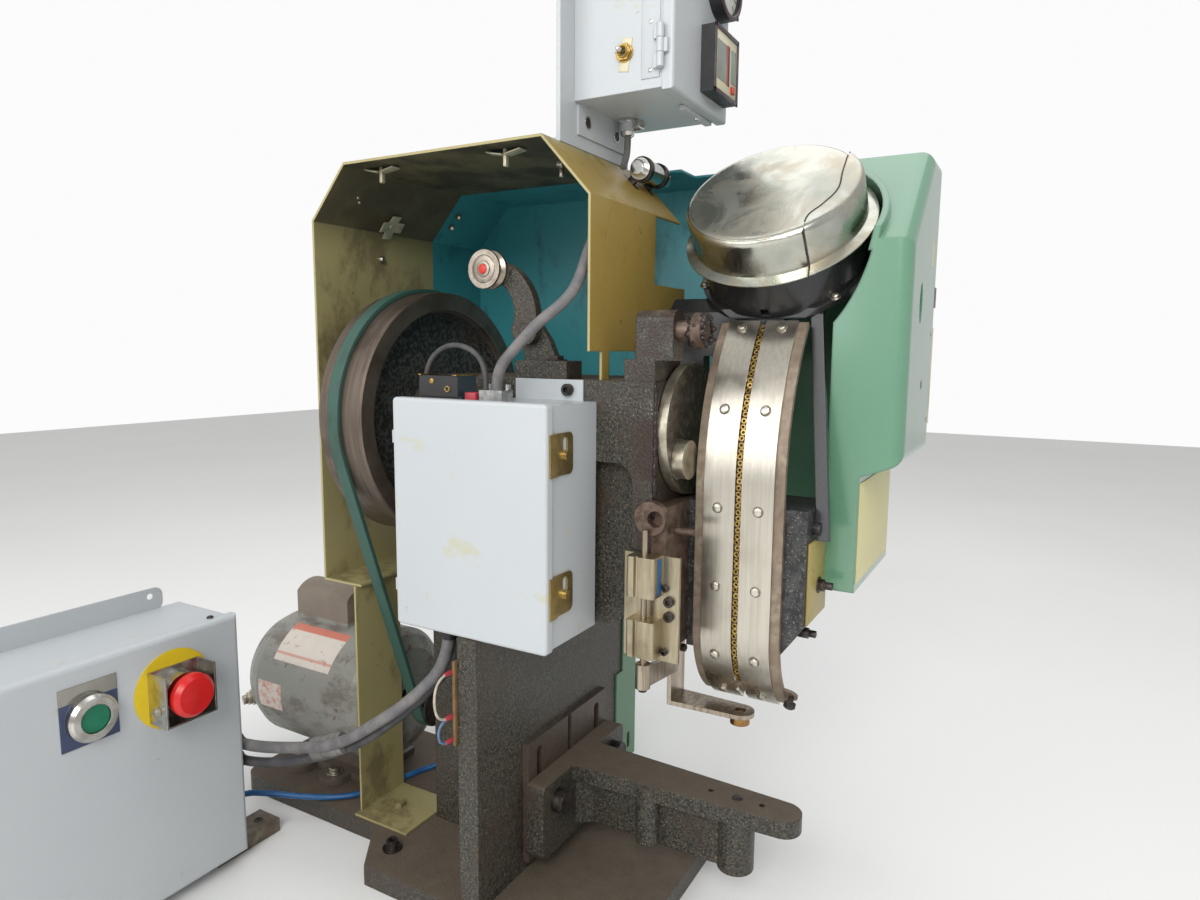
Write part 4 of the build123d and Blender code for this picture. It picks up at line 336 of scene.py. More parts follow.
def motor_enamel():
    """Rust-spotted grey motor enamel with two worn paper plates, bare of print."""
    g = Graph("motor_grey")
    paint = g.blend(g.noise(7.0, 3.0), (0.195, 0.197, 0.178), (0.272, 0.268, 0.238))
    smear = g.noise(20.0, 7.0, 0.68, place=g.stretched((1.0, 0.5, 1.0)))
    colour = g.over(paint, g.step(smear, 0.48, 0.62), 0.6, (0.088, 0.062, 0.045))
    rust = g.times(g.step(g.noise(48.0, 6.0, 0.72), 0.58, 0.68), 0.8)
    colour = g.blend(rust, colour, (0.135, 0.06, 0.028))
    cap = g.step(g.axis("Z"), 0.2435, 0.2455)
    cap_tone = g.blend(g.noise(30.0, 5.0, 0.65), (0.135, 0.108, 0.082), (0.205, 0.155, 0.115))
    colour = g.over(colour, cap, 0.85, cap_tone)
    feet = g.step(g.axis("Z"), 0.06, 0.048)
    colour = g.over(colour, feet, 0.8, (0.105, 0.072, 0.052))
    rise = g.maths("ARCTAN2", g.maths("SUBTRACT", g.axis("Z"), 0.147), g.times(g.axis("X"), -1.0))
    worn = g.step(g.noise(85.0, 6.0, 0.72), 0.6, 0.66)
    plates = (((0.324, 0.436), (0.52, 1.18), 0.0, 0.6), ((0.409, 0.457), (-0.25, 0.17), 0.72, 0.0))
    for ends, turn, much, line in plates:
        on = g.times(g.between(g.axis("Y"), *ends), g.between(rise, *turn, soft=0.008))
        on = g.times(on, g.step(g.axis("X"), -0.018, -0.022))
        paper = g.blend(g.noise(50.0, 5.0), (0.56, 0.5, 0.44), (0.64, 0.59, 0.53))
        faded = g.times(g.step(g.noise(120.0, 5.0, 0.7), 0.46, 0.6), much)
        red = g.maths("MAXIMUM", g.step(rise, 1.045, 1.055), faded)
        paper = g.over(paper, red, 0.85, (0.52, 0.11, 0.06))
        paper = g.over(paper, g.between(rise, 0.62, 0.66, soft=0.012), line, (0.52, 0.13, 0.08))
        paper = g.over(paper, worn, 0.75, (0.26, 0.13, 0.07))
        colour = g.blend(on, colour, paper)
    g.edges(0.0018)
    g.bump(g.noise(220.0, 3.0), 0.16, 0.0006)
    return g.done(colour, g.mix(rust, g.mix(smear, 0.36, 0.5), 0.75))


def sealed_blocks():
    """The black terminal block beside a plated cable clamp."""
    g = Graph("block_black")
    clamp = g.step(g.axis("Y"), 0.012, 0.01)
    black = g.blend(g.noise(60.0, 5.0), (0.014, 0.014, 0.017), (0.034, 0.032, 0.032))
    side = g.step(g.facing("Y"), -0.5, -0.8)
    black = g.over(black, side, 0.8, (0.022, 0.05, 0.065))
    metal = g.blend(g.step(g.noise(90.0, 4.0), 0.4, 0.6), (0.52, 0.52, 0.5), (0.33, 0.33, 0.32))
    g.edges(0.0008)
    g.bump(g.noise(300.0, 2.0), 0.06, 0.0003)
    return g.done(g.blend(clamp, black, metal), g.mix(clamp, 0.4, 0.3), clamp)


def crank_iron():
    """A bright machined rim, and a face black with grease."""
    g = Graph("crank_iron", metal=0.8)
    cloud = g.noise(40.0, 5.0, 0.62)
    rim = g.blend(g.step(cloud, 0.36, 0.62), (0.52, 0.48, 0.38), (0.3, 0.26, 0.19))
    face = g.step(g.facing("Y"), -0.45, -0.75)
    pin = g.step(g.ring(-0.03913, 0.53051), 0.0225, 0.0215)
    black = g.times(face, g.maths("SUBTRACT", 1.0, pin))
    grease = g.blend(g.step(g.noise(110.0, 4.0), 0.4, 0.66), (0.014, 0.01, 0.008), (0.06, 0.045, 0.036))
    colour = g.over(rim, black, 0.93, grease)
    g.edges(0.0012)
    g.bump(g.noise(150.0, 4.0), 0.18, 0.0006)
    return g.done(colour, g.mix(black, 0.34, 0.26), g.mix(black, 0.85, 0.15))


def flywheel_iron():
    """Machined brown rim, dark hammered web, light chamfer between them."""
    g = Graph("flywheel_iron")
    reach = g.ring(0.0, 0.56)
    lines = g.noise(1.0, 3.0, 0.6, place=g.stretched((14.0, 620.0, 14.0)))
    rim = g.blend(g.step(lines, 0.3, 0.7), (0.125, 0.094, 0.072), (0.205, 0.165, 0.135))
    cells = g.cells(300.0)
    blots = g.step(g.noise(230.0, 3.0, 0.6), 0.42, 0.6)
    web = g.blend(blots, (0.018, 0.021, 0.02), (0.085, 0.09, 0.082))
    inside = g.step(reach, 0.1345, 0.1325)
    colour = g.blend(inside, rim, web)
    lip = g.between(reach, 0.1335, 0.1365)
    colour = g.over(colour, lip, 0.5, (0.24, 0.22, 0.19))
    hub = g.step(reach, 0.046, 0.0445)
    colour = g.blend(hub, colour, (0.1, 0.075, 0.055))
    smear = g.times(g.step(g.noise(18.0, 5.0), 0.52, 0.7), 0.5)
    colour = g.blend(smear, colour, (0.06, 0.042, 0.03))
    g.edges(0.0016)
    g.bump(g.mix(inside, g.times(lines, 0.25), cells), 0.35, 0.001)
    return g.done(colour, g.mix(inside, 0.4, 0.5), g.mix(inside, 0.75, 0.1))


def polished_lid():
    """Spun stainless under a smudged film: cloudy, warm and green-grey patches, fine scratches."""
    g = Graph("polished_lid", metal=1.0)
    smudge = g.noise(17.0, 6.0, 0.62, distortion=1.1)
    wipes = g.stretched((40.0, 900.0, 40.0), (0.0, 0.7, 0.4))
    scratch = g.step(g.noise(1.0, 4.0, 0.7, place=wipes), 0.6, 0.7)
    colour = g.blend(g.step(smudge, 0.38, 0.64), (0.56, 0.57, 0.51), (0.5, 0.455, 0.365))
    colour = g.blend(g.step(g.noise(9.0, 4.0, 0.6), 0.42, 0.66), colour, (0.38, 0.39, 0.345))
    colour = g.over(colour, scratch, 0.2, (0.8, 0.79, 0.74))
    g.edges(0.0008)
    g.bump(g.noise(9.0, 2.0), 0.1, 0.0018)
    rough = g.maths("ADD", g.mix(g.step(smudge, 0.4, 0.66), 0.2, 0.4), g.times(scratch, 0.08))
    return g.done(colour, rough)


def plain(name, colour, rough, variation=0.12, metal=0.0, scale=60.0, bump=0.08):
    """A moulded or plated small part with slight unevenness."""
    g = Graph(name, metal=metal)
    darker = tuple(c * (1.0 - 3.0 * variation) for c in colour)
    cloud = g.noise(scale, 4.0)
    tone = g.blend(g.step(cloud, 0.35, 0.7), colour, darker)
    g.edges(0.0006)
    g.bump(g.noise(scale * 6.0, 2.0), bump, 0.0004)
    return g.done(tone, g.maths("MULTIPLY_ADD", cloud, 0.18, rough - 0.08))


def jacket(name, tone, shade, rough=0.62):
    """Dusty rubber or vinyl cable jacket."""
    g = Graph(name)
    cloud = g.noise(46.0, 6.0, 0.65)
    colour = g.blend(g.step(cloud, 0.38, 0.66), tone, shade)
    g.bump(g.noise(240.0, 3.0), 0.2, 0.0005)
    return g.done(colour, g.maths("MULTIPLY_ADD", cloud, 0.2, rough - 0.1))


CASTING = hammertone()
BLOCK_IRON = oiled_iron("block_iron", (0.052, 0.052, 0.052), (0.014, 0.014, 0.016), (0.026, 0.023, 0.021),
                        0.3, 0.44, 0.1, speckle=0.45)
GREASED = oiled_iron("greased_iron", (0.195, 0.145, 0.115), (0.095, 0.062, 0.046))
CRANK = crank_iron()
BOLT = oiled_iron("bolt_black", (0.085, 0.08, 0.075), (0.03, 0.027, 0.025), much=0.35, rough=0.38,
                  metal=0.8)
RAIL = oiled_iron("rail_brown", (0.33, 0.265, 0.2), (0.215, 0.165, 0.12), (0.125, 0.085, 0.06),
                  0.5, 0.46, 0.35)
FOOT = oiled_iron("foot_steel", (0.23, 0.2, 0.15), (0.13, 0.105, 0.075), (0.09, 0.06, 0.04), 0.5,
                  metal=0.5)
PULLEY = oiled_iron("pulley_iron", (0.05, 0.048, 0.046), (0.02, 0.018, 0.018), much=0.4, metal=0.5)
TRACK = brushed("track_steel", (0.61, 0.575, 0.5), (0.52, 0.485, 0.41), 0.27, dirt=0.14,
                dirt_tone=(0.24, 0.19, 0.13))
HEX = brushed("hex_bright", (0.7, 0.67, 0.59), (0.56, 0.53, 0.45), 0.3, (90.0, 90.0, 90.0), 0.1)
ROLLER = brushed("roller_steel", (0.42, 0.37, 0.31), (0.27, 0.23, 0.185), 0.3, (90.0, 90.0, 90.0), 0.3)
SCREW = brushed("screw_steel", (0.56, 0.52, 0.44), (0.4, 0.36, 0.29), 0.34, (120.0, 120.0, 120.0), 0.35)
ROD = brushed("rod_steel", (0.48, 0.42, 0.34), (0.28, 0.22, 0.16), 0.3, (240.0, 240.0, 12.0), 0.4)
BRONZE = brushed("bronze", (0.42, 0.24, 0.09), (0.26, 0.14, 0.05), 0.32, (120.0, 120.0, 120.0), 0.35)
BRASS = brushed("eyelet_brass", (0.56, 0.39, 0.13), (0.33, 0.21, 0.06), 0.3, (300.0, 300.0, 300.0), 0.3)
ALUMINIUM = brushed("aluminium_tan", (0.5, 0.44, 0.32), (0.35, 0.295, 0.2), 0.36, (90.0, 90.0, 14.0), 0.35)
ZINC = brushed("zinc_yellow", (0.62, 0.5, 0.24), (0.46, 0.35, 0.15), 0.3, (60.0, 60.0, 60.0), 0.3)
CHROME = brushed("bright_plate", (0.76, 0.75, 0.73), (0.6, 0.59, 0.56), 0.14, (60.0, 60.0, 60.0), 0.12)
ROTOR = brushed("rotor_alloy", (0.45, 0.43, 0.38), (0.28, 0.26, 0.22), 0.4, (60.0, 60.0, 60.0))
LID = polished_lid()
WHEEL = flywheel_iron()
OLIVE = hood_sheet()
MOTOR = motor_enamel()
PLATES = push_button_plates()
BLOCKS = sealed_blocks()
BOX = box_paint()
GUARD = enamel("guard_green", (0.108, 0.255, 0.16), (0.132, 0.295, 0.19), 0.24, (0.14, 0.13, 0.08), 0.64, 0.3,
               round_edge=0.004, coat=0.9)
TEAL = enamel("cover_teal", (0.034, 0.24, 0.275), (0.046, 0.29, 0.325), 0.34, (0.02, 0.06, 0.062), 0.54, 0.45,
              rust=0.25, scale=24.0)
COVER_GREEN = enamel("cover_green", (0.112, 0.235, 0.14), (0.135, 0.265, 0.165), 0.34, (0.06, 0.05, 0.03),
                     dirt_much=0.6)
BLACK = enamel("black_enamel", (0.016, 0.016, 0.018), (0.028, 0.027, 0.028), 0.22, (0.11, 0.09, 0.06),
               0.62, 0.4, coat=0.3)
BELT = enamel("belt_green", (0.026, 0.078, 0.062), (0.042, 0.105, 0.082), 0.46, (0.03, 0.042, 0.036),
              0.5, 0.6, round_edge=0.002)
PALE_PLATE = enamel("pale_plate", (0.6, 0.56, 0.38), (0.66, 0.625, 0.47), 0.42, (0.16, 0.12, 0.07),
                    dirt_much=0.45)
YELLOW_PLATE = enamel("yellow_plate", (0.64, 0.585, 0.26), (0.69, 0.65, 0.4), 0.4, (0.17, 0.13, 0.07),
                      dirt_much=0.5)
BLOCK_PLATE = enamel("block_plate", (0.33, 0.25, 0.06), (0.4, 0.325, 0.11), 0.34, (0.06, 0.042, 0.022),
                     0.5, 0.8, rust=0.4)
CABLE = jacket("cable_grey", (0.115, 0.112, 0.118), (0.185, 0.175, 0.17))
CABLE_DARK = jacket("cable_dark", (0.045, 0.045, 0.05), (0.085, 0.08, 0.078))
TUBE = jacket("air_tube", (0.008, 0.08, 0.23), (0.016, 0.115, 0.3), 0.42)
PLASTIC = plain("black_plastic", (0.022, 0.022, 0.025), 0.42)
START = plain("start_green", (0.004, 0.165, 0.085), 0.24, 0.05)
STOP = plain("stop_red", (0.62, 0.014, 0.014), 0.3, 0.05)
# painted shadow along the lid's seam
SHADOW = plain("painted_seam_shadow", (0.06, 0.05, 0.04), 0.6)
# dirt and painted shade round the raceway's screws
SCREW_SHADE_RING = plain("dirt_and_shade_ring", (0.23, 0.2, 0.155), 0.55)
WIRE_PALE = plain("wire_pale", (0.56, 0.5, 0.4), 0.45)
WIRE_BLUE = plain("wire_blue", (0.11, 0.2, 0.33), 0.45)
BOOT = plain("boot_red", (0.42, 0.04, 0.06), 0.4)
BOARD = plain("strip_board", (0.2, 0.115, 0.045), 0.5)
CREAM = plain("clip_cream", (0.56, 0.52, 0.36), 0.34, metal=0.35)
DIAL = plain("dial_pale", (0.52, 0.53, 0.49), 0.3, 0.05)
DARK_LINE = plain("dial_mark", (0.03, 0.03, 0.034), 0.4)
BEZEL = plain("bezel_plum", (0.058, 0.034, 0.04), 0.34)
SCREEN = plain("screen_grey", (0.24, 0.27, 0.23), 0.22, 0.05)
SIGNAL = plain("signal_red", (0.56, 0.035, 0.02), 0.32, 0.05)
BLUE_MARK = plain("mark_blue", (0.02, 0.13, 0.33), 0.38, 0.14)
GREASE = plain("grease_red", (0.024, 0.012, 0.01), 0.3, 0.2, scale=90.0, bump=0.8)
WRAP = plain("wrap_grey", (0.2, 0.19, 0.18), 0.66)

FINISHES = {
    CASTING: ("base_plate", "press_frame", "lower_arm", "front_bracket", "rear_bracket", "swing_lever"),
    BLOCK_IRON: ("spindle_block",),
    GREASED: ("gib_plate", "feed_shaft", "crank_bushes"),
    CRANK: ("crankshaft", "crank_roller"),
    BOLT: ("base_bolts", "arm_bolts", "lower_die", "thumb_screw"),
    RAIL: ("raceway_back",),
    TRACK: ("raceway_covers",),
    ROD: ("guide_rod", "probe_bracket", "ram"),
    BRONZE: ("probe_bush",),
    ALUMINIUM: ("cylinder_block",),
    ZINC: ("box_clamps",),
    ROLLER: ("grooved_roller",),
    CHROME: ("toggle_lever",),
    PLATES: ("station_fittings",),
    BLOCKS: ("terminal_block",),
    LID: ("hopper_lid", "lid_segment"),
    WHEEL: ("flywheel",),
    GUARD: ("front_guard",),
    TEAL: ("far_cover",),
    OLIVE: ("hood", "hood_strut"),
    COVER_GREEN: ("lower_cover",),
    BLACK: ("hopper_bowl", "hopper_arm", "guard_bar"),
    MOTOR: ("motor",),
    BOX: ("box_body", "box_door", "control_post", "control_box", "control_door", "station_body",
          "station_door"),
    BELT: ("belt",),
    PULLEY: ("motor_pulley",),
    ROTOR: ("hopper_rotor",),
    PLASTIC: ("door_instruments",),
    START: ("start_button",),
    STOP: ("estop_button",),
    FOOT: ("station_foot",),
}
for finish, names in FINISHES.items():
    for name in names:
        mesh = nodes[name].data
        mesh.materials.clear()
        mesh.materials.append(finish)


# ---------------------------------------------------------------- shapes
# Detail pieces are drawn in millimetres, and finished() brings them to metres.
LEFT, RIGHT = (-1, 0, 0), (1, 0, 0)
FRONT, BACK = (0, -1, 0), (0, 1, 0)
DOWN, UP = (0, 0, -1), (0, 0, 1)


def framed(origin, axis):
    """A frame whose Z runs along an axis from a point."""
    return Matrix.Translation(origin) @ Vector(axis).normalized().to_track_quat("Z", "Y").to_matrix().to_4x4()


def moved(*place):
    return Matrix.Translation(place)


def turned_by(degrees, axis):
    return Matrix.Rotation(radians(degrees), 4, axis)


def round_off(bm, verts, size, steep=0):
    """Round off a new shape's edges, or those alone that turn by more than an angle."""
    edges = dict.fromkeys(edge for vert in verts for edge in vert.link_edges)
    edges = [edge for edge in edges if edge.calc_face_angle(0.0) > radians(steep)]
    bmesh.ops.bevel(bm, geom=edges, offset=size, segments=2, profile=0.5, affect="EDGES", material=-1)


def disc(bm, origin, axis, radius, length, sides=32, bevel=0.0, far_radius=None):
    """A closed round or many-sided bar from its origin along its axis."""
    made = bmesh.ops.create_cone(
        bm, cap_ends=True, cap_tris=False, segments=sides, radius1=radius,
        radius2=radius if far_radius is None else far_radius, depth=length,
        matrix=framed(origin, axis) @ moved(0, 0, length / 2))
    if bevel:
        round_off(bm, made["verts"], bevel, steep=50)


def block(bm, low, high, bevel=0.0, place=Matrix.Identity(4)):
    """A block between two corners, its edges rounded."""
    low, high = Vector(low), Vector(high)
    size = Matrix.Diagonal((*(high - low), 1.0))
    made = bmesh.ops.create_cube(bm, size=1.0, matrix=place @ Matrix.Translation((low + high) / 2) @ size)
    if bevel:
        round_off(bm, made["verts"], bevel)


def turned(bm, origin, axis, outline, steps=28):
    """A turned shape: outline is (radius, height) along the axis."""
    place = framed(origin, axis)
    corners = [bm.verts.new(place @ Vector((r, 0, h))) for r, h in outline]
    runs = [bm.edges.new(pair) for pair in zip(corners, corners[1:])]
    along = place.to_3x3() @ Vector((0, 0, 1))
    bmesh.ops.spin(bm, geom=corners + runs, cent=Vector(origin), axis=along, angle=2 * pi, steps=steps,
                   use_merge=True)


def ring(bm, origin, axis, inner, outer, height, steps=28):
    """A flat ring standing on its seat."""
    outline = [(inner, 0.0), (outer, 0.0), (outer, height), (inner, height), (inner, 0.0)]
    turned(bm, origin, axis, outline, steps)


def socket_screw(bm, place, axis, radius, height):
    """A cap screw: a rounded head with a six-sided socket in it."""
    half = radius * 0.5
    turned(bm, place, axis, [(half, height), (radius - 0.8, height), (radius, height - 0.8), (radius, 0)], 24)
    turned(bm, place, axis, [(half, height), (half, height * 0.35), (0.0, height * 0.35)], 6)


def pan_screw(bm, place, axis, radius, height):
    """A domed screw head."""
    dome = [(0.0, height), (radius * 0.55, height * 0.93), (radius * 0.9, height * 0.6), (radius, 0.0)]
    turned(bm, place, axis, dome, 20)


def finished(name, bm, material, body, smooth=35.0):
    """Turn a bmesh into a piece that rides on a body."""
    bmesh.ops.scale(bm, vec=(0.001, 0.001, 0.001), verts=bm.verts)
    bmesh.ops.remove_doubles(bm, verts=bm.verts, dist=0.000005)
    bmesh.ops.recalc_face_normals(bm, faces=bm.faces)
    mesh = bpy.data.meshes.new(name)
    bm.to_mesh(mesh)
    bm.free()
    mesh.polygons.foreach_set("use_smooth", [True] * len(mesh.polygons))
    mesh.set_sharp_from_angle(angle=radians(smooth))
    mesh.materials.append(material)
    made = bpy.data.objects.new(name, mesh)
    bpy.context.scene.collection.objects.link(made)
    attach(made, body)
    return made


def piece(name, material, body, slot, *rows):
    """A piece made of rows, each a shape's function and what that shape takes."""
    bm = bmesh.new()
    for shape, *given in rows:
        shape(bm, *given)
    finished(name, bm, material, body)


# ---------------------------------------------------------------- cords
def cord_curve(name, route, radius, material):
    """A smooth round cord whose control points are given in millimetres."""
    curve = bpy.data.curves.new(name, "CURVE")
    curve.dimensions = "3D"
    curve.bevel_depth = radius / 1000
    curve.bevel_resolution = 5
    curve.resolution_u = 12
    curve.use_fill_caps = True
    spline = curve.splines.new("NURBS")
    spline.points.add(len(route) - 1)
    for point, place in zip(spline.points, route):
        point.co = (*(c / 1000 for c in place), 1.0)
    spline.order_u = 3
    spline.use_endpoint_u = True
    curve.materials.append(material)
    cord = bpy.data.objects.new(name, curve)
    bpy.context.scene.collection.objects.link(cord)
    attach(cord, "base")
    return cord


# name, radius in millimetres, length in metres, finish, slot, route in millimetres
CORDS = (
    ("conduit_main", 7.0, 0.400, CABLE, "cable_grey", [
        (-150, 46, 342), (-150, 46, 296), (-168, 88, 246), (-179, 132, 212), (-186, 192, 171),
        (-194, 256, 154), (-212, 322, 147), (-212, 352, 147)]),
    ("conduit_branch", 6.0, 0.413, CABLE_DARK, "cable_grey", [
        (-136, 46, 342), (-136, 46, 294), (-153, 86, 243), (-166, 126, 206), (-174, 186, 162),
        (-186, 258, 134), (-212, 318, 125), (-212, 352, 125)]),
    ("hood_cable", 6.0, 0.310, CABLE, "cable_grey", [
        (-136, -12, 603), (-136, -12, 624), (-133, -34, 648), (-126, -60, 676), (-116, -80, 692),
        (-103, -91, 712), (-90, -94, 742), (-60, -89, 774), (-25, -74, 796), (0, -59.5, 813.2),
        (0, -77.8, 830.1)]),
    ("thin_cable", 3.0, 0.152, CABLE_DARK, "plastic_black", [
        (-139, 0, 603), (-139, 0, 622), (-138, 11, 641), (-136, 36, 651), (-134, 62, 649), (-132, 84, 634),
        (-131, 92, 612), (-131, 92, 591)]),
    ("pigtail", 4.0, 0.050, CABLE, "cable_grey", [
        (57, -64, 904), (57, -64, 888), (50, -66, 872), (38, -68, 860)]),
    ("strip_wire_upper", 1.4, 0.070, WIRE_PALE, "tube_blue", [
        (-190, 18.6, 299), (-203, 19, 297), (-209, 20, 275), (-203, 19, 251), (-190, 18.6, 249)]),
    ("strip_wire_lower", 1.4, 0.039, WIRE_BLUE, "tube_blue", [
        (-190, 18.6, 248), (-198, 19, 247), (-203, 20, 236), (-199, 19, 223), (-190, 18.6, 222)]),
    ("blue_tube", 4.0, 0.378, TUBE, "tube_blue", [
        (-213, 386, 50), (-180, 386, 50), (-150, 372, 38), (-122, 334, 29.5), (-96, 286, 29.5),
        (-58, 262, 29.5), (-14, 250, 31), (24, 228, 36), (46, 198, 46), (46, 150, 46)]),
)
for name, radius, length, material, slot, route in CORDS:
    cord = cord_curve(name + "_run", route, radius, material)
    if name in nodes:
        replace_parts(cord, name)

# ---------------------------------------------------------------- raceway
TRACK_X = -29.5
TRACK_FOOT, TRACK_STRAIGHT = 345.0, 155.0
TRACK_LOW_R, TRACK_HIGH_R = 110.0, 276.9
PUNCH_Y = -246.0
EYELETS, EYELET_PITCH, LOWEST_EYELET = 63, 6.55, -64.35


def track_place(along, depth):
    """A point of the raceway's curve at a length from its straight part's foot, and the way out of it."""
    if along < 0.0:
        turn = -along / TRACK_LOW_R
        out = Vector((-cos(turn), 0.0, -sin(turn)))
        return Vector((TRACK_X + TRACK_LOW_R, 0.0, TRACK_FOOT)) + out * (TRACK_LOW_R - depth), out
    if along > TRACK_STRAIGHT:
        turn = (along - TRACK_STRAIGHT) / TRACK_HIGH_R
        out = Vector((-cos(turn), 0.0, sin(turn)))
        centre = Vector((TRACK_X + TRACK_HIGH_R, 0.0, TRACK_FOOT + TRACK_STRAIGHT))
        return centre + out * (TRACK_HIGH_R - depth), out
    return Vector((TRACK_X + depth, 0.0, TRACK_FOOT + along)), Vector((-1.0, 0.0, 0.0))


def eyelets():
    """A row of brass eyelets standing in the raceway's slot, each a little askew."""
    bm = bmesh.new()
    shape = [(1.3, 0.0), (2.1, 0.0), (2.3, 2.9), (3.2, 3.5), (3.2, 4.1), (1.6, 4.1), (1.3, 0.0)]
    for number in range(EYELETS):
        place, out = track_place(LOWEST_EYELET + number * EYELET_PITCH, 5.9)
        lean = Vector((0.0, 0.16 * sin(number * 2.3), 0.0))
        up = Vector((-out.z, 0.0, out.x)) * 0.14 * cos(number * 1.7)
        turned(bm, place + Vector((0.0, PUNCH_Y, 0.0)), out + lean + up, shape, 12)
    finished("eyelet_row", bm, BRASS, "raceway")


def raceway_screws():
    """Bright caps on the raceway's hexagon screws, each in a ring of dirt and painted shade."""
    caps = bmesh.new()
    rings = bmesh.new()
    # dirt and painted shade: a dark ring round each screw head where it meets the cover
    dirt = [(4.6, 0.0), (4.6, 0.14), (5.8, 0.1), (6.1, 0.0), (4.6, 0.0)]
    for along in (340.5, 241.4, 135.0, 49.0, -29.4, -88.8):
        place, out = track_place(along, 0.0)
        for side in (-22.5, 22.5):
            seat = place + Vector((0.0, PUNCH_Y + side, 0.0))
            disc(caps, seat + out * 0.1, out, 5.0, 3.35, 6, 0.8)
            turned(rings, seat - out * 0.05, out, dirt)
    finished("raceway_screw_caps", caps, HEX, "raceway")
    finished("raceway_screw_rings", rings, SCREW_SHADE_RING, "raceway")


# ---------------------------------------------------------------- hopper
HOPPER_TILT = 41.84
HOPPER_UP = Vector((-sin(radians(HOPPER_TILT)), 0.0, cos(radians(HOPPER_TILT))))
HOPPER_SLOPE = Vector((cos(radians(HOPPER_TILT)), 0.0, sin(radians(HOPPER_TILT))))
LID_CENTRE = Vector((42.0, PUNCH_Y, 822.0))
LID_R, LID_T, LID_CORNER = 97.5, 1.5, 9.0
# the seam in the lid's own plane, up the slope and across, with a knot past each end
LID_SEAM = ((110.0, -72.0), (66.0, -73.0), (21.0, -74.0), (-14.0, -76.0), (-40.0, -66.0), (-60.0, -55.0),
            (-90.0, -56.0), (-110.0, -57.0))


def seam_points(shift):
    """The lid's S-shaped seam from its high end to its low end."""
    knots = [Vector((u, v + shift)) for u, v in LID_SEAM]
    line = []
    for before, start, stop, after in zip(knots, knots[1:], knots[2:], knots[3:]):
        leave, arrive = start + (stop - before) / 6, stop - (after - start) / 6
        line += interpolate_bezier(start, leave, arrive, stop, 9)[:-1]
    return [Vector((130.0, knots[1].y))] + line + [knots[-2], Vector((-130.0, knots[-2].y))]


def lid_outline(nest):
    """The spun sheet's section: flat top, rounded corner, wall and turned-out rim."""
    turns = [pi / 2 * k / 6 for k in range(7)]
    outer, inner = (
        [(LID_R - LID_CORNER + size * sin(turn), size * cos(turn) - LID_CORNER) for turn in turns]
        for size in (LID_CORNER, LID_CORNER - LID_T))
    rim = [(LID_R, -45.0), (LID_R + 10.3, -48.3), (LID_R + 10.3, -49.8), (LID_R - LID_T, -46.5)]
    sides = [(r - nest, h - nest) for r, h in outer + rim + inner[::-1]]
    return [(0.0, -nest)] + sides + [(0.0, -LID_T - nest)]


def lid_flat(place):
    """A place's reach up the lid's slope and across it."""
    away = place - LID_CENTRE
    return away.dot(HOPPER_SLOPE), away.y


def lid_sheet(name, node, body, nest, shift, keep_front):
    """One of the lid's two spun sheets, cut along the seam; it stands for its node."""
    bm = bmesh.new()
    turned(bm, LID_CENTRE, HOPPER_UP, lid_outline(nest), 144)
    bmesh.ops.remove_doubles(bm, verts=bm.verts, dist=0.001)
    line = seam_points(shift)
    for start in line[1:-1]:
        every = bm.verts[:] + bm.edges[:] + bm.faces[:]
        bmesh.ops.bisect_plane(bm, geom=every, dist=0.001, plane_co=LID_CENTRE + HOPPER_SLOPE * start.x,
                               plane_no=HOPPER_SLOPE)
    for start, stop in zip(line, line[1:]):
        faces = [face for face in bm.faces if stop.x < lid_flat(face.calc_center_median())[0] < start.x]
        strip = dict.fromkeys(part for face in faces for part in (*face.verts, *face.edges))
        run = HOPPER_SLOPE * (stop.x - start.x) + Vector((0.0, stop.y - start.y, 0.0))
        bmesh.ops.bisect_plane(bm, geom=list(strip) + faces, dist=0.001, plane_no=run.cross(HOPPER_UP),
                               plane_co=LID_CENTRE + HOPPER_SLOPE * start.x + Vector((0.0, start.y, 0.0)))
    beyond = []
    for face in bm.faces:
        u, v = lid_flat(face.calc_center_median())
        start, stop = next(pair for pair in zip(line, line[1:]) if pair[1].x <= u)
        seam = start.y + (stop.y - start.y) * (start.x - u) / (start.x - stop.x)
        if (v > seam) == keep_front:
            beyond.append(face)
    bmesh.ops.delete(bm, geom=beyond, context="FACES")
    bmesh.ops.remove_doubles(bm, verts=bm.verts, dist=0.012)
    rim = [edge for edge in bm.edges if edge.is_boundary]
    ends = [[vert.co.copy() for vert in edge.verts] for edge in rim]
    bmesh.ops.triangle_fill(bm, use_beauty=True, edges=rim, normal=(0.0, 1.0, 0.0))
    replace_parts(finished(name, bm, LID, body, smooth=28.0), node)
    return [pair for pair in ends if all(on_outside(place) for place in pair)]


def on_outside(place):
    """True on the outer face of the upper sheet."""
    away = place - LID_CENTRE
    height = away.dot(HOPPER_UP)
    reach = (away - HOPPER_UP * height).length
    return height > -0.1 or reach > (LID_R - 0.1 if height < -LID_CORNER else 96.4 + height)


def lid_sheets():
    """The hopper's lid: a small front sheet over the large one that turns, and a painted shadow line between.
    """
    seam = lid_sheet("lid_front_sheet", "lid_segment", "base", 0.0, 0.0, True)
    lid_sheet("lid_main_sheet", "hopper_lid", "lid", 2.3, -6.0, False)
    # painted shadow: a thin dark strip along the front sheet's cut edge, where the gap between the sheets
    # lies in shade
    bm = bmesh.new()
    for start, stop in seam:
        disc(bm, start + Vector((0.0, 0.9, 0.0)), stop - start, 0.8, (stop - start).length + 0.2, 8)
    finished("lid_seam_shadow", bm, SHADOW, "base")


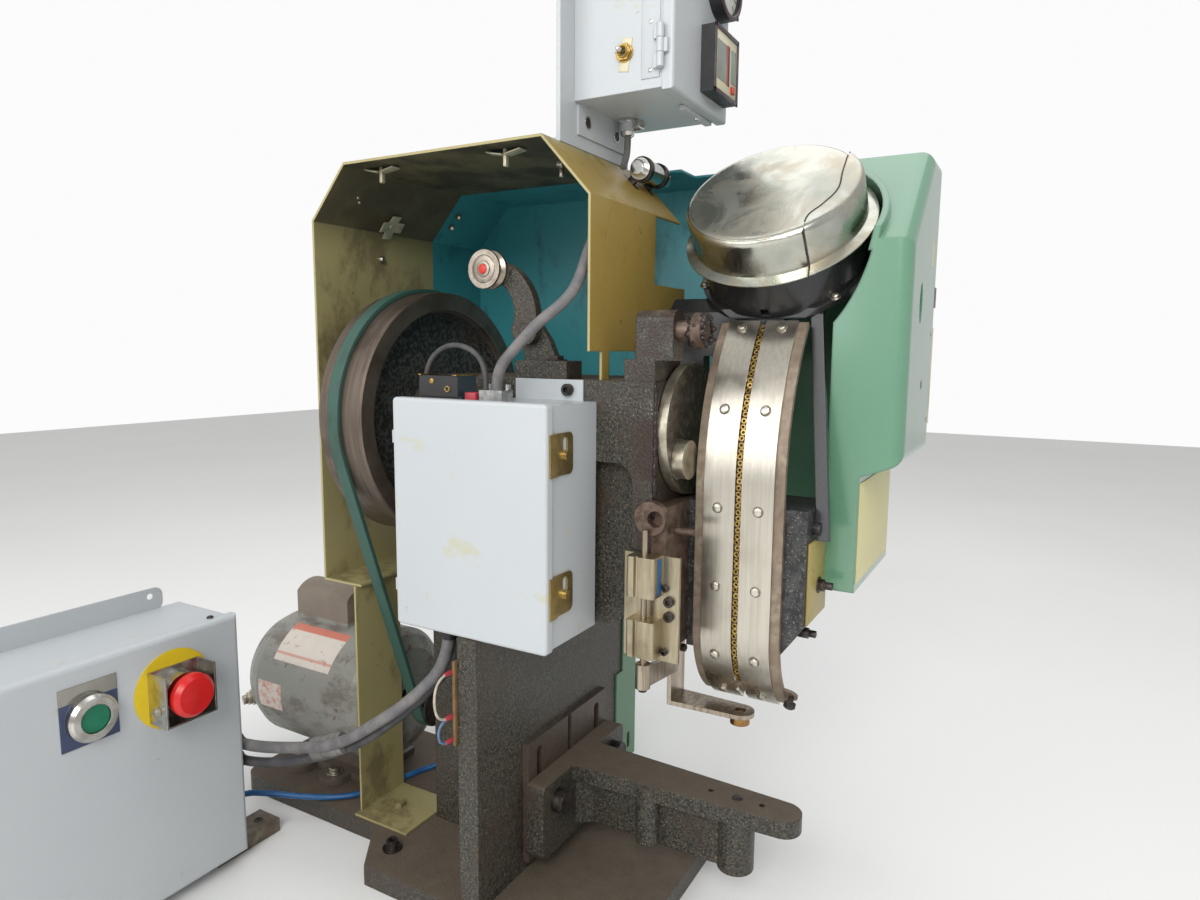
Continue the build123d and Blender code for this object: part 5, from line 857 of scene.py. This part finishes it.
def bowl_screws():
    """Domed screws on the cast dish that carries the hopper's bowl."""
    bm = bmesh.new()
    for turn in (radians(112), radians(228)):
        away = HOPPER_SLOPE * cos(turn) + Vector((0, 1, 0)) * sin(turn)
        place = LID_CENTRE - HOPPER_UP * 100 + away * 95.2
        disc(bm, place, HOPPER_UP, 6.2, 1.2, 24, 0.3)
        pan_screw(bm, place + HOPPER_UP * 1.2, HOPPER_UP, 4.8, 4.2)
    finished("bowl_screws", bm, SCREW, "base")


# ---------------------------------------------------------------- head, hood and guard
BARREL_Y, BARREL_Z, BARREL_R = -80, 861, 13.0
HOOD_SHOULDER = 47.3
IDLER_Y, IDLER_Z = 46, 736.5
BLOCK_FACE = -320.4
GUARD_FACE = -395.1


def spindle_block_plate():
    """The ochre plate on the spindle block's front with its two long bolts."""
    piece("block_plate", BLOCK_PLATE, "base", "zinc", (block, (-14, -320.6, 361), (60, -318, 449), 0.6))
    piece("block_bolts", BOLT, "base", "steel",
          (disc, (26, BLOCK_FACE, 396), FRONT, 9.0, 1.6, 28, 0.4),
          (disc, (26, BLOCK_FACE - 1.6, 396), FRONT, 7.0, 5.5, 6, 0.6),
          (disc, (26, BLOCK_FACE - 6.6, 396), FRONT, 4.2, 9.0, 20, 0.6),
          (disc, (28, -300.0, 339), FRONT, 6.4, 12.0, 6, 0.6),
          (disc, (28, -311.0, 339), FRONT, 4.0, 9.0, 20, 0.6))


def hood_fittings():
    """Cream spring clips, pins and bolts on the hood's sheet."""
    bm = bmesh.new()
    for x, y in ((-69, 211), (-72, 21)):
        for side in (-1, 1):
            wing = moved(x, y + side * 12.5, 862.6) @ turned_by(side * 11, "X")
            block(bm, (-7, -11, -0.8), (7, 11, 0.8), 0.4, wing)
        block(bm, (x - 3, y - 2.2, 848), (x + 3, y + 2.2, 867), 0.8)
    slope = moved(25, 289.4, 813.2) @ turned_by(41.6, "X") @ turned_by(40, "Y")
    for quarter in range(4):
        wing = slope @ turned_by(90 * quarter + 45, "Y") @ moved(0, -2.2, 10) @ turned_by(9, "X")
        block(bm, (-8, -0.7, -9), (8, 0.7, 9), 0.4, wing)
    block(bm, (-3, -3.0, -3), (3, 0.6, 3), 0.5, slope)
    finished("hood_clips", bm, CREAM, "base")
    piece("hood_pins", SCREW, "base", "steel",
          (pan_screw, (14, 300, 768), FRONT, 4.5, 7),
          (pan_screw, (-47, 274, 833.2), (0, -0.747, -0.664), 2.6, 2.4),
          (pan_screw, (-53, 270, 837.7), (0, -0.747, -0.664), 2.6, 2.4),
          (disc, (8, -2, 867), DOWN, 7.5, 6.0, 6, 0.6),
          (disc, (8, -2, 861), DOWN, 3.6, 12.0, 20, 0.8),
          (pan_screw, (123, 262, 822.5), LEFT, 5.0, 4.0),
          (pan_screw, (123, 249, 837.0), LEFT, 5.0, 4.0),
          (disc, (-52, -36, 873.2), (1, -0.18, 0), 3.1, 30.0, 20, 0.6))


def barrel_lock():
    """The bright barrel in its saddle on the hood's front shoulder."""
    piece("barrel_body", CHROME, "base", "chrome",
          (turned, (50, BARREL_Y, BARREL_Z), RIGHT,
           [(0.0, 0.0), (8.0, 0.0), (9.5, 1.5), (9.5, 8.0), (BARREL_R, 8.0), (BARREL_R, 68.0), (11.0, 70.0),
            (11.0, 76.0), (0.0, 76.0)], 36))
    bm = bmesh.new()
    for x in (62, 104):
        ring(bm, (x, BARREL_Y, BARREL_Z), RIGHT, BARREL_R + 0.1, 15.2, 6.0, 36)
        slope = moved(x + 3, BARREL_Y, BARREL_Z) @ turned_by(HOOD_SHOULDER, "X")
        block(bm, (-3, -5, -21.4), (3, 5, -13.0), 0.5, slope)
        block(bm, (-5, -13, -21.4), (5, 13, -19.4), 0.5, slope)
    finished("barrel_saddle", bm, BOLT, "base")


def head_screws():
    """Screws on the junction box's ear, the cylinder plate and the brackets."""
    piece("head_screws", BOLT, "base", "steel",
          (socket_screw, (-78, -66, 603), LEFT, 6.6, 6.5),
          *((socket_screw, (-84, y, z), LEFT, radius, 4.5)
            for y, z, radius in ((-194, 386, 5.6), (-194, 370, 5.6), (-190, 400, 3.6), (-190, 331, 3.6))),
          (socket_screw, (-44, -170, 637), UP, 6.0, 6.0),
          (socket_screw, (-26, -150, 637), UP, 6.0, 6.0),
          (disc, (-60, -40, 634), UP, 11.0, 1.4, 28, 0.4),
          (disc, (-60, -40, 634), UP, 8.0, 5.5, 6, 0.72),
          (socket_screw, (12, -169, 300), FRONT, 4.6, 4.4),
          *((disc, (x, -48.0, 901), FRONT, 5.9, 0.4, 24) for x in CONTROL_EARS))
    piece("rod_nut", BOLT, "probe", "steel", (disc, (-95, -170, 291), DOWN, 4.6, 4.0, 24, 0.8))
    piece("cylinder_mark", BLUE_MARK, "base", "tube_blue", (block, (-97, -186.5, 394), (-88, -186, 433), 0.2))


def idler_fittings():
    """The grooved roller's red cap and washers."""
    piece("idler_cap", SIGNAL, "lever", "button_red",
          (disc, (-82.3, IDLER_Y, IDLER_Z), LEFT, 5.6, 2.4, 28, 0.7))
    piece("idler_washer", ROLLER, "idler", "chrome",
          (turned, (-82.6, IDLER_Y, IDLER_Z), LEFT,
           [(5.8, 0.0), (9.0, 0.0), (9.0, 1.0), (5.8, 1.4), (5.8, 0.0)]),
          (turned, (-82.3, IDLER_Y, IDLER_Z), LEFT,
           [(9.2, 0.0), (16.0, 0.0), (14.5, 0.5), (9.2, 0.5), (9.2, 0.0)], 36))


def junction_box_fittings():
    """Terminals and a red tab on the block over the junction box, and a rivet in its side."""
    piece("block_red", BOOT, "base", "button_red", (block, (-146, 9, 591), (-130, 24, 600), 1.0))
    piece("block_terminals", BRASS, "base", "bronze",
          (pan_screw, (-150, 66, 611), LEFT, 3.4, 1.6),
          (ring, (-150, 44, 603), LEFT, 2.2, 3.6, 1.0, 24),
          (block, (-152, 30, 617.2), (-112, 36, 618.6), 0.3),
          (block, (-152, 80, 617.2), (-112, 84, 618.6), 0.3))
    piece("box_rivet", SCREW, "base", "zinc", (pan_screw, (-167, -100.0, 452), FRONT, 3.0, 2.0))


def guard_plates():
    """Bare plates on the guard's front and on its lower step."""
    piece("guard_plates", PALE_PLATE, "base", "aluminium",
          (block, (222, GUARD_FACE, 560), (233, -394.6, 676)),
          (block, (184, GUARD_FACE, 745), (199, -394.6, 773)))
    piece("step_plate", YELLOW_PLATE, "base", "zinc", (block, (55, -354.0, 394), (233, -353, 506), 0.3))
    piece("guard_marks", BEZEL, "base", "plastic_black",
          (block, (222, GUARD_FACE, 700), (238, -394.4, 724)),
          (disc, (156, -394.6, 610), FRONT, 5.0, 0.5, 24),
          (disc, (212, -394.6, 668), FRONT, 2.6, 0.5, 16),
          (disc, (212, -394.6, 566), FRONT, 2.6, 0.5, 16))


def grease_beads():
    """Thick red-brown grease along the head's front edge and on the feed shaft."""
    bm = bmesh.new()
    for number in range(26):
        place = moved(-75.2 + 1.2 * sin(number * 2.7), -170.4, 372 + number * 9.4)
        bmesh.ops.create_icosphere(bm, subdivisions=2, radius=2.6 + 1.8 * sin(number * 1.9) ** 2,
                                   matrix=place @ Matrix.Diagonal((0.8, 0.7, 2.2, 1.0)))
    finished("grease_beads", bm, GREASE, "base", smooth=80.0)
    bm = bmesh.new()
    for number in range(70):
        turn = number * 2.4
        reach = 14.6 - 0.8 * (number % 3)
        place = moved(-62 + reach * cos(turn), -213 - 7 * sin(number * 2.2), 667 + reach * sin(turn))
        bmesh.ops.create_icosphere(bm, subdivisions=2, radius=2.4 + 1.7 * sin(number * 1.3) ** 2,
                                   matrix=place @ Matrix.Diagonal((1.0, 1.5, 1.0, 1.0)))
    finished("feed_grease", bm, GREASE, "feed", smooth=80.0)


# ---------------------------------------------------------------- control box
DOOR_FACE = -165.0
GAUGE_X, GAUGE_Z = 82, 1054
TOGGLE_Y, TOGGLE_Z = -108, 958
CONTROL_EARS = (-10, 58)


def gauge():
    """The gauge's pale dial with bare ticks and a hand, beside the timer's bar."""
    middle = (GAUGE_X, DOOR_FACE - 10.0, GAUGE_Z)
    piece("gauge_dial", DIAL, "panel_cover", "box_blue", (disc, middle, FRONT, 29.6, 0.8, 48))
    bm = bmesh.new()
    for tick in range(11):
        turn = radians(225 - 27 * tick)
        place = moved(GAUGE_X + 25 * cos(turn), DOOR_FACE - 10.8, GAUGE_Z + 25 * sin(turn))
        block(bm, (-3, -0.3, -0.5), (3, 0.3, 0.5), 0.0, place @ Matrix.Rotation(-turn, 4, "Y"))
    hand = moved(GAUGE_X, DOOR_FACE - 11.6, GAUGE_Z) @ turned_by(-215, "Y")
    block(bm, (-6, -0.3, -0.7), (22, 0.3, 0.7), 0.0, hand)
    disc(bm, (GAUGE_X, DOOR_FACE - 10.9, GAUGE_Z), FRONT, 3.4, 1.6, 20)
    block(bm, (75, -182.0, 944), (79, -181.0, 987), 0.2)
    finished("gauge_marks", bm, DARK_LINE, "panel_cover")


def timer():
    """The timer's face, windows and red buttons, and the plum frames round it and the gauge."""
    frame_sides = ((34, 929, 106, 934), (34, 996, 106, 1001), (34, 929, 38.5, 1001), (101.5, 929, 106, 1001))
    piece("instrument_bezels", BEZEL, "panel_cover", "plastic_black",
          (turned, (GAUGE_X, DOOR_FACE - 13.5, GAUGE_Z), FRONT,
           [(30.2, 0.0), (36.0, 0.0), (36.0, 1.6), (34.5, 2.6), (31.4, 2.6), (30.2, 1.4)], 48),
          (block, (102, -181.4, 1024), (106, -179, 1028), 0.5),
          *((block, (x, -182.8, z), (far_x, -180.8, far_z), 0.5) for x, z, far_x, far_z in frame_sides))
    piece("timer_face", PALE_PLATE, "panel_cover", "aluminium",
          (block, (38, -181.6, 933), (102, -180.9, 997), 0.2))
    piece("timer_window", SCREEN, "panel_cover", "plastic_black",
          (block, (42, -182.2, 945), (70, -181.4, 986), 0.3),
          (block, (84, -182.2, 950), (98, -181.4, 986), 0.3))
    piece("timer_button", SIGNAL, "panel_cover", "button_red",
          (block, (71, -182.3, 944), (73.5, -181.4, 987), 0.2),
          (block, (84, -184.6, 938), (91, -181.4, 946), 0.8))


def toggle_fittings():
    """The toggle's threaded collar with its nut, and a bare plate behind it."""
    thread = [(4.9, 0.0), (6.2, 0.0), (6.2, 3.4), (5.8, 3.9), (6.2, 4.4), (5.8, 4.9), (6.2, 5.4), (5.9, 6.4),
              (5.2, 6.4), (4.9, 0.0)]
    piece("toggle_collar", BRASS, "base", "bronze",
          (ring, (-36, TOGGLE_Y, TOGGLE_Z), LEFT, 4.9, 10.0, 1.4),
          (ring, (-37.2, TOGGLE_Y, TOGGLE_Z), LEFT, 4.9, 9.0, 3.6, 6),
          (turned, (-37.2, TOGGLE_Y, TOGGLE_Z), LEFT, thread))
    askew = moved(-36.2, -109, 956) @ turned_by(8, "X")
    piece("toggle_plate", PALE_PLATE, "base", "zinc", (block, (-0.5, -6.0, -17), (0.3, 6.0, 17), 0.15, askew))


def control_box_fittings():
    """Hinge leaf, latch, screws and cable gland of the control box."""
    piece("hinge_leaf", BOX, "base", "box_blue",
          (block, (-37.0, -149.5, 928), (-36, -128, 1112), 0.3),
          (block, (28, -151.8, 911.5), (104, -143, 917.5), 1.0))
    piece("control_screws", CHROME, "base", "chrome",
          *((pan_screw, (-37.0, -139, z), LEFT, 2.4, 1.2) for z in (936, 984, 1056, 1104)),
          (pan_screw, (68, -147.4, 911.5), DOWN, 3.2, 2.6),
          (disc, (57, -64, 917.8), DOWN, 13.5, 5.0, 6, 0.8),
          (turned, (57, -64, 904), DOWN, [(4.4, 0.0), (8.6, 0.0), (7.4, 4.5), (4.6, 6.5), (4.4, 0.0)]),
          (disc, (57, -73, 909), (-0.35, -1, 0), 5.6, 13.0, 24, 0.8),
          *((ring, (x, -48.1, 901), FRONT, 5.9, 7.2, 0.8, 24) for x in CONTROL_EARS))


# ---------------------------------------------------------------- station, motor and conduits
def strip_board():
    """The terminal strip behind the pedestal's flange with its red boots."""
    piece("strip_board", BOARD, "base", "bronze", (block, (-183, 12.2, 216), (-172, 16, 312), 0.6))
    bm = bmesh.new()
    for z in (299, 249, 222):
        disc(bm, (-180, 17.6, z), (-1, 0.1, 0), 3.0, 12.0, 20, 0.4, 2.2)
        pan_screw(bm, (-178, 16, z + 7), BACK, 3.2, 2.4)
    finished("strip_boots", bm, BOOT, "base")


def conduit_strap():
    """Grey wrap that holds the two conduits together, and the glands that they leave by."""
    bm = bmesh.new()
    middle = framed((-182, 214, 163), (-6.0, 62.0, -24.0))
    for start, length, grow in ((-26, 52, 0.0), (-18, 14, 0.5), (6, 16, 0.4)):
        place = middle @ moved(0, 0, start + length / 2) @ turned_by(12, "Z")
        bmesh.ops.create_cone(bm, cap_ends=True, segments=36, radius1=8.2 + grow, radius2=8.0 + grow,
                              depth=length, matrix=place @ Matrix.Diagonal((1.0, 1.6, 1.0, 1.0)))
    finished("conduit_wrap", bm, WRAP, "base")
    bm = bmesh.new()
    for x, r in ((-150, 7.2), (-136, 6.2)):
        gland = [(r, 0.0), (r + 5, 0.0), (r + 5, 7.0), (r + 3, 9.0), (r + 0.6, 20.0), (r, 20.0), (r, 0.0)]
        turned(bm, (x, 46, 342), DOWN, gland)
    for z, r in ((147, 7.2), (125, 6.2)):
        gland = [(r, 0.0), (r + 4, 0.0), (r + 4, 6.0), (r + 2.6, 8.0), (r + 0.5, 18.0), (r, 18.0), (r, 0.0)]
        turned(bm, (-212, 352, z), FRONT, gland)
    finished("conduit_glands", bm, PLASTIC, "base")


def motor_fittings():
    """The motor's bolts in its slotted lugs, and the cable nut on its end bell."""
    bm = bmesh.new()
    for x in (-62, 62):
        for y in (340, 410):
            disc(bm, (x, y, 35), UP, 12.0, 2.0, 32, 0.5)
            disc(bm, (x, y, 37), UP, 8.4, 6.5, 6, 0.8)
    lead = (-0.86, 0.35, -0.1)
    disc(bm, (-66, 492, 120), lead, 12.0, 13.0, 24, 0.8)
    disc(bm, (-77, 496.5, 118.7), lead, 10.5, 7.0, 6, 0.9)
    disc(bm, (-83, 499, 118), lead, 7.0, 7.0, 24, 0.8)
    finished("motor_bolts", bm, SCREW, "base")


def station_fittings():
    """Bolts through the steel yoke round the red button, and the station's own screws."""
    piece("yoke_bolts", SCREW, "station_cover", "chrome",
          (disc, (-338, 298, 250), LEFT, 5.6, 4.0, 6, 0.5),
          (disc, (-341, 298, 250), LEFT, 3.4, 3.0, 20, 0.5),
          (disc, (-278, 298, 250), RIGHT, 5.6, 4.0, 6, 0.5))
    piece("station_screws", BOLT, "base", "steel",
          *((pan_screw, (x, 331.5, 324), (0, 0.2, 1), 4.0, 3.0) for x in (-500, -249)),
          *((socket_screw, (x, 358, 18), UP, 6.0, 1.0) for x in (-178, -571)))


for fit in (eyelets, raceway_screws, spindle_block_plate, hood_fittings, barrel_lock, gauge, timer,
            toggle_fittings, control_box_fittings, head_screws, idler_fittings, junction_box_fittings,
            lid_sheets, grease_beads, strip_board, conduit_strap, guard_plates, bowl_screws, motor_fittings,
            station_fittings):
    fit()

# ---------------------------------------------------------------- floor and light
floor_mesh = bmesh.new()
bmesh.ops.create_grid(floor_mesh, x_segments=1, y_segments=1, size=6.0, matrix=moved(0, 0, -0.0004))
floor_data = bpy.data.meshes.new("floor")
floor_mesh.to_mesh(floor_data)
floor_mesh.free()
floor = bpy.data.objects.new("floor", floor_data)
bpy.context.scene.collection.objects.link(floor)
FLOOR = Graph("floor_pale", rough=0.75)
FLOOR.done(FLOOR.blend(FLOOR.noise(1.5, 2.0), (0.8, 0.8, 0.79), (0.86, 0.86, 0.85)))
floor_data.materials.append(FLOOR.material)

world = bpy.data.worlds.new("studio")
bpy.context.scene.world = world
world.use_nodes = True
sky = world.node_tree
light_path = sky.nodes.new("ShaderNodeLightPath")
backdrop = sky.nodes.new("ShaderNodeMix")
backdrop.data_type = "FLOAT"
seen = sky.nodes.new("ShaderNodeMath")
seen.operation = "MAXIMUM"
sky.links.new(light_path.outputs["Is Camera Ray"], seen.inputs[0])
sky.links.new(light_path.outputs["Is Transmission Ray"], seen.inputs[1])
sky.links.new(seen.outputs[0], backdrop.inputs[0])
backdrop.inputs[2].default_value = 0.62
backdrop.inputs[3].default_value = 0.97
sky.nodes["Background"].inputs["Color"].default_value = (1.0, 1.0, 1.0, 1.0)
sky.links.new(backdrop.outputs[0], sky.nodes["Background"].inputs["Strength"])

soft_lamp("key", (-2.5, -1.0, 2.0), (0.0, 0.0, 0.5), 1.4, 52.0, (1.0, 0.985, 0.96))
soft_lamp("fill", (-2.2, 0.9, 1.4), (0.0, 0.0, 0.5), 1.6, 18.0, (0.96, 0.98, 1.0))
soft_lamp("top", (0.7, 0.1, 2.7), (0.1, -0.1, 0.6), 2.6, 24.0)
photo_camera()
bpy.context.scene.view_settings.view_transform = "Standard"
